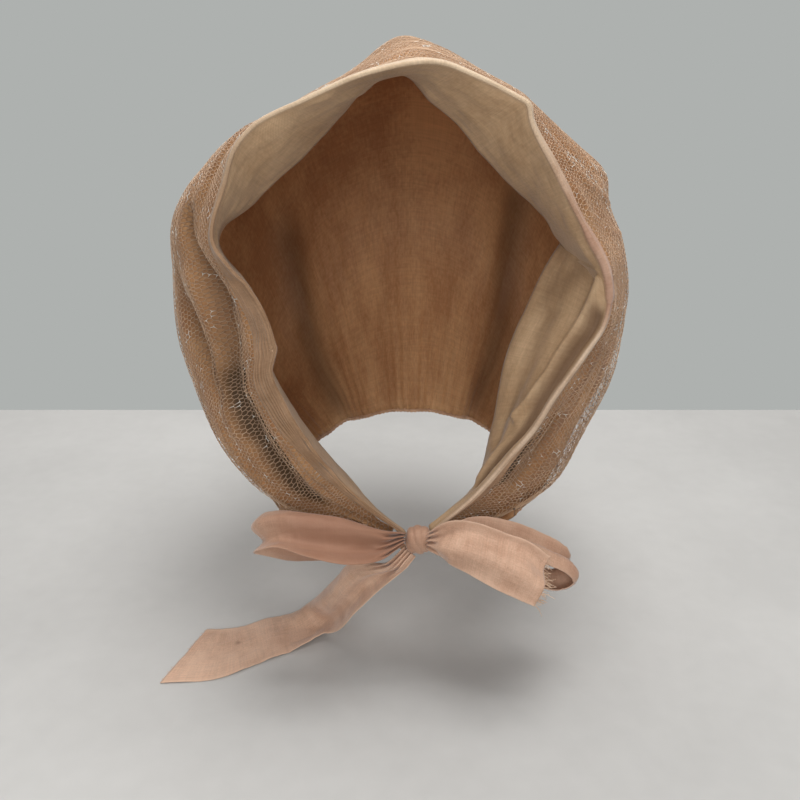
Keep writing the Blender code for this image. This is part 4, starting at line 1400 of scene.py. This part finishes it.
def finish_cloth(tree, base, roughness, height, depth, sheen, through, metallic=0.0):
    """Surface of a thin cloth: a principled shader with some light let through."""
    bump = put(tree, "ShaderNodeBump", [("Height", height), ("Strength", 0.6), ("Distance", depth)])
    links = [("Base Color", base), ("Roughness", roughness), ("Metallic", metallic),
             ("Sheen Weight", sheen), ("Sheen Roughness", 0.4), ("Specular IOR Level", 0.3),
             ("Normal", bump.outputs[0])]
    face = put(tree, "ShaderNodeBsdfPrincipled", links)
    glow = put(tree, "ShaderNodeBsdfTranslucent", [("Color", base), ("Normal", bump.outputs[0])])
    both = put(tree, "ShaderNodeMixShader", [(0, through), (1, face.outputs[0]), (2, glow.outputs[0])])
    put(tree, "ShaderNodeOutputMaterial", [("Surface", both.outputs[0])])


def make_net_material():
    material, tree, place = start_material("Tan net with metal thread")
    tone = mottled(tree, place, 34.0, 0.5, NET_TONES)
    glint = read_value(tree, "glint")
    # Painted shade darkens the thread at the bottoms of deep folds
    thread = painted_fold_shade(tree, tone["Colour"], 0.55)
    thread = blend_colours(tree, glint, thread, colour(METAL_TONE))
    roughness = calculate(tree, "SUBTRACT", 0.62, calculate(tree, "MULTIPLY", glint, 0.30))
    metal = calculate(tree, "MULTIPLY", glint, 0.55)
    height = woven(tree, place, 0.00016)["Height"]
    finish_cloth(tree, thread, roughness, height, 0.00006, 0.35, 0.12, metallic=metal)
    return material


def make_lining_material():
    material, tree, place = start_material("Thin lining silk")
    weave = woven(tree, place, 0.00030)
    base = shaded(tree, mottled(tree, place, 26.0, 0.35, LINING_TONES)["Colour"], weave["Shade"])
    # Painted shade at the bottoms of deep folds
    base = painted_fold_shade(tree, base, 0.75)
    # Painted shade: the lining turns dark brown in the hollow and the slit under the net
    pocket_shade = stretch(tree, read_value(tree, "pocket_shade"), 0.15, 0.80)
    base = blend_colours(tree, pocket_shade, base, colour(POCKET_SHADE_TONE))
    finish_cloth(tree, base, 0.55, weave["Height"], 0.00007, 0.25, 0.26)
    return material


def band_colour(tree, place, way):
    """Tones of the band: those of the outer strip change along the face edge."""
    flap, tan, cream, pink, pale = [
        mottled(tree, place, patches, 0.32, tones)["Colour"]
        for patches, tones in ((30.0, FLAP_TONES), (52.0, TAN_STRIP_TONES), (44.0, CREAM_STRIP_TONES),
                               (44.0, PINK_STRIP_TONES), (44.0, PALE_STRIP_TONES))]
    strip = blend_colours(tree, stretch(tree, way, 0.30, 0.44), tan, cream)
    strip = blend_colours(tree, stretch(tree, way, 0.60, 0.70), strip, pink)
    strip = blend_colours(tree, stretch(tree, way, 0.76, 0.79), strip, pale)
    low_leg = calculate(tree, "MULTIPLY", read_value(tree, "leg"), stretch(tree, way, 0.78, 0.82))
    strip = blend_colours(tree, low_leg, strip, tan)
    return blend_colours(tree, read_value(tree, "outer_strip"), flap, strip)


def band_lines(tree, place, way):
    """Fine lengthwise lines, from -1 to 1, and where the outer strip is gathered enough to show them."""
    gathered = calculate(tree, "MULTIPLY", read_value(tree, "outer_strip"), stretch(tree, way, 0.34, 0.27))
    links = [("Vector", place), ("Scale", 45.0), ("Detail", 1.0)]
    wander = put(tree, "ShaderNodeTexNoise", links).outputs[0]
    across = put(tree, "ShaderNodeSeparateXYZ", [(0, place)]).outputs[1]
    turns = calculate(tree, "MULTIPLY", across, 2 * math.pi / BAND_LINE_PITCH)
    lines = calculate(tree, "SINE", calculate(tree, "ADD", turns, calculate(tree, "MULTIPLY", wander, 14.0)))
    return lines, gathered


def make_band_material():
    material, tree, place = start_material("Close-woven band silk")
    way = read_value(tree, "way_round")
    weave = woven(tree, place, 0.00036)
    base = shaded(tree, band_colour(tree, place, way), weave["Shade"])
    # Painted shade in the flap's creases, read from the fold_shade values
    base = painted_fold_shade(tree, base, 0.80)
    hem = calculate(tree, "MULTIPLY", read_value(tree, "free_edge"), 0.55)
    base = blend_colours(tree, hem, base, colour(FLAP_EDGE_TONE))
    lines, gathered = band_lines(tree, place, way)
    # Painted shade along the fine gather lines, which the bump also raises
    line_shade = calculate(tree, "MULTIPLY", stretch(tree, lines, -0.2, 1.0), gathered)
    line_shade = calculate(tree, "MULTIPLY", line_shade, 0.24)
    base = blend_colours(tree, line_shade, base, colour(STRIP_LINE_SHADE_TONE))
    lines = calculate(tree, "MULTIPLY", calculate(tree, "MULTIPLY", lines, gathered), -2.6)
    height = calculate(tree, "ADD", weave["Height"], lines)
    finish_cloth(tree, base, 0.52, height, 0.00010, 0.30, 0.16)
    return material


def make_ribbon_material():
    material, tree, place = start_material("Peach ribbon silk")
    weave = woven(tree, place, 0.00034)
    base = shaded(tree, mottled(tree, place, 70.0, 0.45, RIBBON_TONES)["Colour"], weave["Shade"])
    # Paler selvedge edges, partly their own tone and partly a painted highlight
    base = blend_colours(tree, read_value(tree, "selvedge_and_highlight"), base, colour(SELVEDGE_AND_HIGHLIGHT_TONE))
    # Painted shade on the ribbon and the knot
    base = blend_colours(tree, read_value(tree, "ribbon_shade"), base, colour(RIBBON_SHADE_TONE))
    mark = calculate(tree, "MULTIPLY", read_value(tree, "mark"), 0.6)
    base = blend_colours(tree, mark, base, colour(SPOT_TONE))
    finish_cloth(tree, base, 0.50, weave["Height"], 0.00010, 0.45, 0.20)
    return material


def make_hem_material():
    material, tree, place = start_material("Rolled net edge")
    tone = mottled(tree, place, 90.0, 0.6, HEM_TONES)
    height = woven(tree, place, 0.00060)["Height"]
    finish_cloth(tree, tone["Colour"], 0.68, height, 0.00022, 0.30, 0.10)
    return material


def make_thread_material():
    material, tree, _ = start_material("Sewing thread")
    here = put(tree, "ShaderNodeTexCoord").outputs["Object"]
    tone = mottled(tree, here, 300.0, 0.25, THREAD_TONES)
    finish_cloth(tree, tone["Colour"], 0.6, tone["Mask"], 0.00002, 0.3, 0.08)
    return material


def make_floor_material():
    material, tree, _ = start_material("Pale table top")
    here = put(tree, "ShaderNodeTexCoord").outputs["Object"]
    tone = mottled(tree, here, 5.0, 0.2, FLOOR_TONES)
    links = [("Base Color", tone["Colour"]), ("Roughness", 0.55), ("Specular IOR Level", 0.3)]
    face = put(tree, "ShaderNodeBsdfPrincipled", links)
    put(tree, "ShaderNodeOutputMaterial", [("Surface", face.outputs[0])])
    return material


def add_floor():
    low = (-FLOOR_HALF_WIDTH, FLOOR_FRONT, FLOOR_HEIGHT - FLOOR_THICKNESS)
    high = (FLOOR_HALF_WIDTH, FLOOR_BACK_EDGE, FLOOR_HEIGHT)
    corners = [(x, y, z) for z in (low[2], high[2]) for y in (low[1], high[1]) for x in (low[0], high[0])]
    faces = np.array([(0, 2, 3, 1), (4, 5, 7, 6), (0, 1, 5, 4), (2, 6, 7, 3), (0, 4, 6, 2), (1, 3, 7, 5)])
    floor = build_mesh("table_top", np.array(corners), faces)
    floor.data.shade_flat()
    floor.data.materials.append(make_floor_material())
    return floor


def aim(made, target):
    direction = np.array(target, float) - np.array(made.location)
    made.rotation_euler = Euler((
        math.acos(-direction[2] / np.linalg.norm(direction)),
        0.0,
        math.atan2(direction[1], direction[0]) - math.pi / 2,
    ))


def add_light(name, place, size, power, tint):
    lamp = bpy.data.lights.new(name, "AREA")
    lamp.shape = "RECTANGLE"
    lamp.size, lamp.size_y = size
    lamp.energy = power
    lamp.color = tint
    made = bpy.data.objects.new(name, lamp)
    made.location = place
    aim(made, LIGHT_TARGET)
    bpy.context.scene.collection.objects.link(made)


def add_stage():
    add_floor()
    for light in LIGHTS:
        add_light(*light)
    world = bpy.data.worlds.new("Studio")
    world.use_nodes = True
    tree = world.node_tree
    tree.nodes.clear()
    backdrop = put(tree, "ShaderNodeBackground", [("Color", BACKDROP), ("Strength", 1.0)])
    ambient = put(tree, "ShaderNodeBackground", [("Color", AMBIENT), ("Strength", AMBIENT_STRENGTH)])
    seen = put(tree, "ShaderNodeLightPath").outputs["Is Camera Ray"]
    both = put(tree, "ShaderNodeMixShader", [(0, seen), (1, ambient.outputs[0]), (2, backdrop.outputs[0])])
    put(tree, "ShaderNodeOutputWorld", [("Surface", both.outputs[0])])
    bpy.context.scene.world = world


def add_camera():
    lens = bpy.data.cameras.new("photo_view")
    lens.sensor_width = SENSOR
    lens.lens = CAMERA_FOCAL_PIXELS / IMAGE_PIXELS * SENSOR
    camera = bpy.data.objects.new("photo_view", lens)
    camera.location = CAMERA_PLACE
    camera.rotation_euler = Euler((math.radians(90 - CAMERA_TILT), 0.0, 0.0))
    bpy.context.scene.collection.objects.link(camera)
    bpy.context.scene.camera = camera


# Studio: backdrop and soft lights as name, place, size, power and tint
BACKDROP = colour((174, 177, 175))
AMBIENT = (1.0, 0.98, 0.96, 1.0)
AMBIENT_STRENGTH = 0.30
LIGHT_TARGET = (0.0, 0.0, -0.13)
LIGHTS = [
    ("key", (0.20, -0.06, 1.15), (0.8, 0.8), 14.4, (1.0, 0.985, 0.96)),
    ("front_fill", (-0.10, -1.15, 0.30), (0.9, 0.7), 6.8, (1.0, 0.99, 0.97)),
    ("back_fill", (-0.25, 0.95, 0.65), (0.8, 0.6), 4.0, (1.0, 0.98, 0.95)),
]


def place_piece(made, material, nodes):
    made.data.materials.append(material)
    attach(made, "root")
    if nodes:
        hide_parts(*nodes)


def dress():
    net_material = make_net_material()
    ribbon_material = make_ribbon_material()
    thread_material = make_thread_material()

    nets = add_net()
    for piece in nets:
        place_piece(piece, net_material, ["net_cover"])
    hem = add_hem()
    place_piece(hem, make_hem_material(), ["neck_hem"])
    for piece, low, high in zip(nets, NET_SPLITS[:-1], NET_SPLITS[1:]):
        sides = np.interp((low, high), np.linspace(0, 1, LENGTH_SHARES), WIDTH_USED)
        length = float(net_length(np.linspace(*sides, 60)).mean())

    lining = add_lining()
    place_piece(lining, make_lining_material(), ["lining"])

    band_material = make_band_material()
    for name, first, last, lower, flat in BANDS:
        band, rows = add_band(name, first, last, lower)
        place_piece(band, band_material, ["face_band"])
        stitches = band_stitch_lines(name, rows)
        for made in stitches:
            place_piece(made, thread_material, [])

    knot = add_knot()
    place_piece(knot, ribbon_material, ["bow_knot"])
    for name, node, sections, length, held, seed, ribbon_shade, crease, fray in RIBBONS:
        made, rows = add_ribbon(name, sections, seed, ribbon_shade, crease)
        place_piece(made, ribbon_material, [node])
        extra = []
        if fray:
            extra.append(add_frayed_threads(rows, *fray))
            place_piece(extra[0], thread_material, [])
        if name == KNOT_COUNTED_WITH:
            extra.append(knot)


# Stretches of the band: name, first and last share, whether it is the lower one, flat size
BANDS = [
    ("band_upper", 0.0, PLEAT_END, False, (0.352, 0.046)),
    ("band_lower", LOWER_START, 1.0, True, (0.132, 0.042)),
]

# Ribbon pieces: name, CAD node, sections, flat length, how it is held, seed, how much painted
# shade darkens the silk at the knot and halfway, height of a lengthwise crease, and the frayed end as
# its name, number of threads, their length and seed
RIBBONS = [
    ("loop_left_silk", "bow_loop_left", LOOP_LEFT, 0.135, "folded", 71, (0.86, 0.20), 0.0, None),
    ("loop_right_silk", "bow_loop_right", LOOP_RIGHT, 0.134, "folded", 72, (0.30, 0.50), 0.0, None),
    ("tail_left_silk", "bow_tail_left", TAIL_LEFT, 0.156, "laid", 73, (0.0, 0.0), 0.0016,
     ("tail_left_fray", 26, 0.0016, 10)),
    ("tail_right_silk", "bow_tail_right", TAIL_RIGHT, 0.055, "hung", 74, (0.15, 0.15), 0.0,
     ("tail_right_fray", 60, 0.0045, 9)),
]
KNOT_COUNTED_WITH = "tail_left_silk"

dress()
add_stage()
add_camera()
bpy.context.scene.view_settings.view_transform = "Standard"
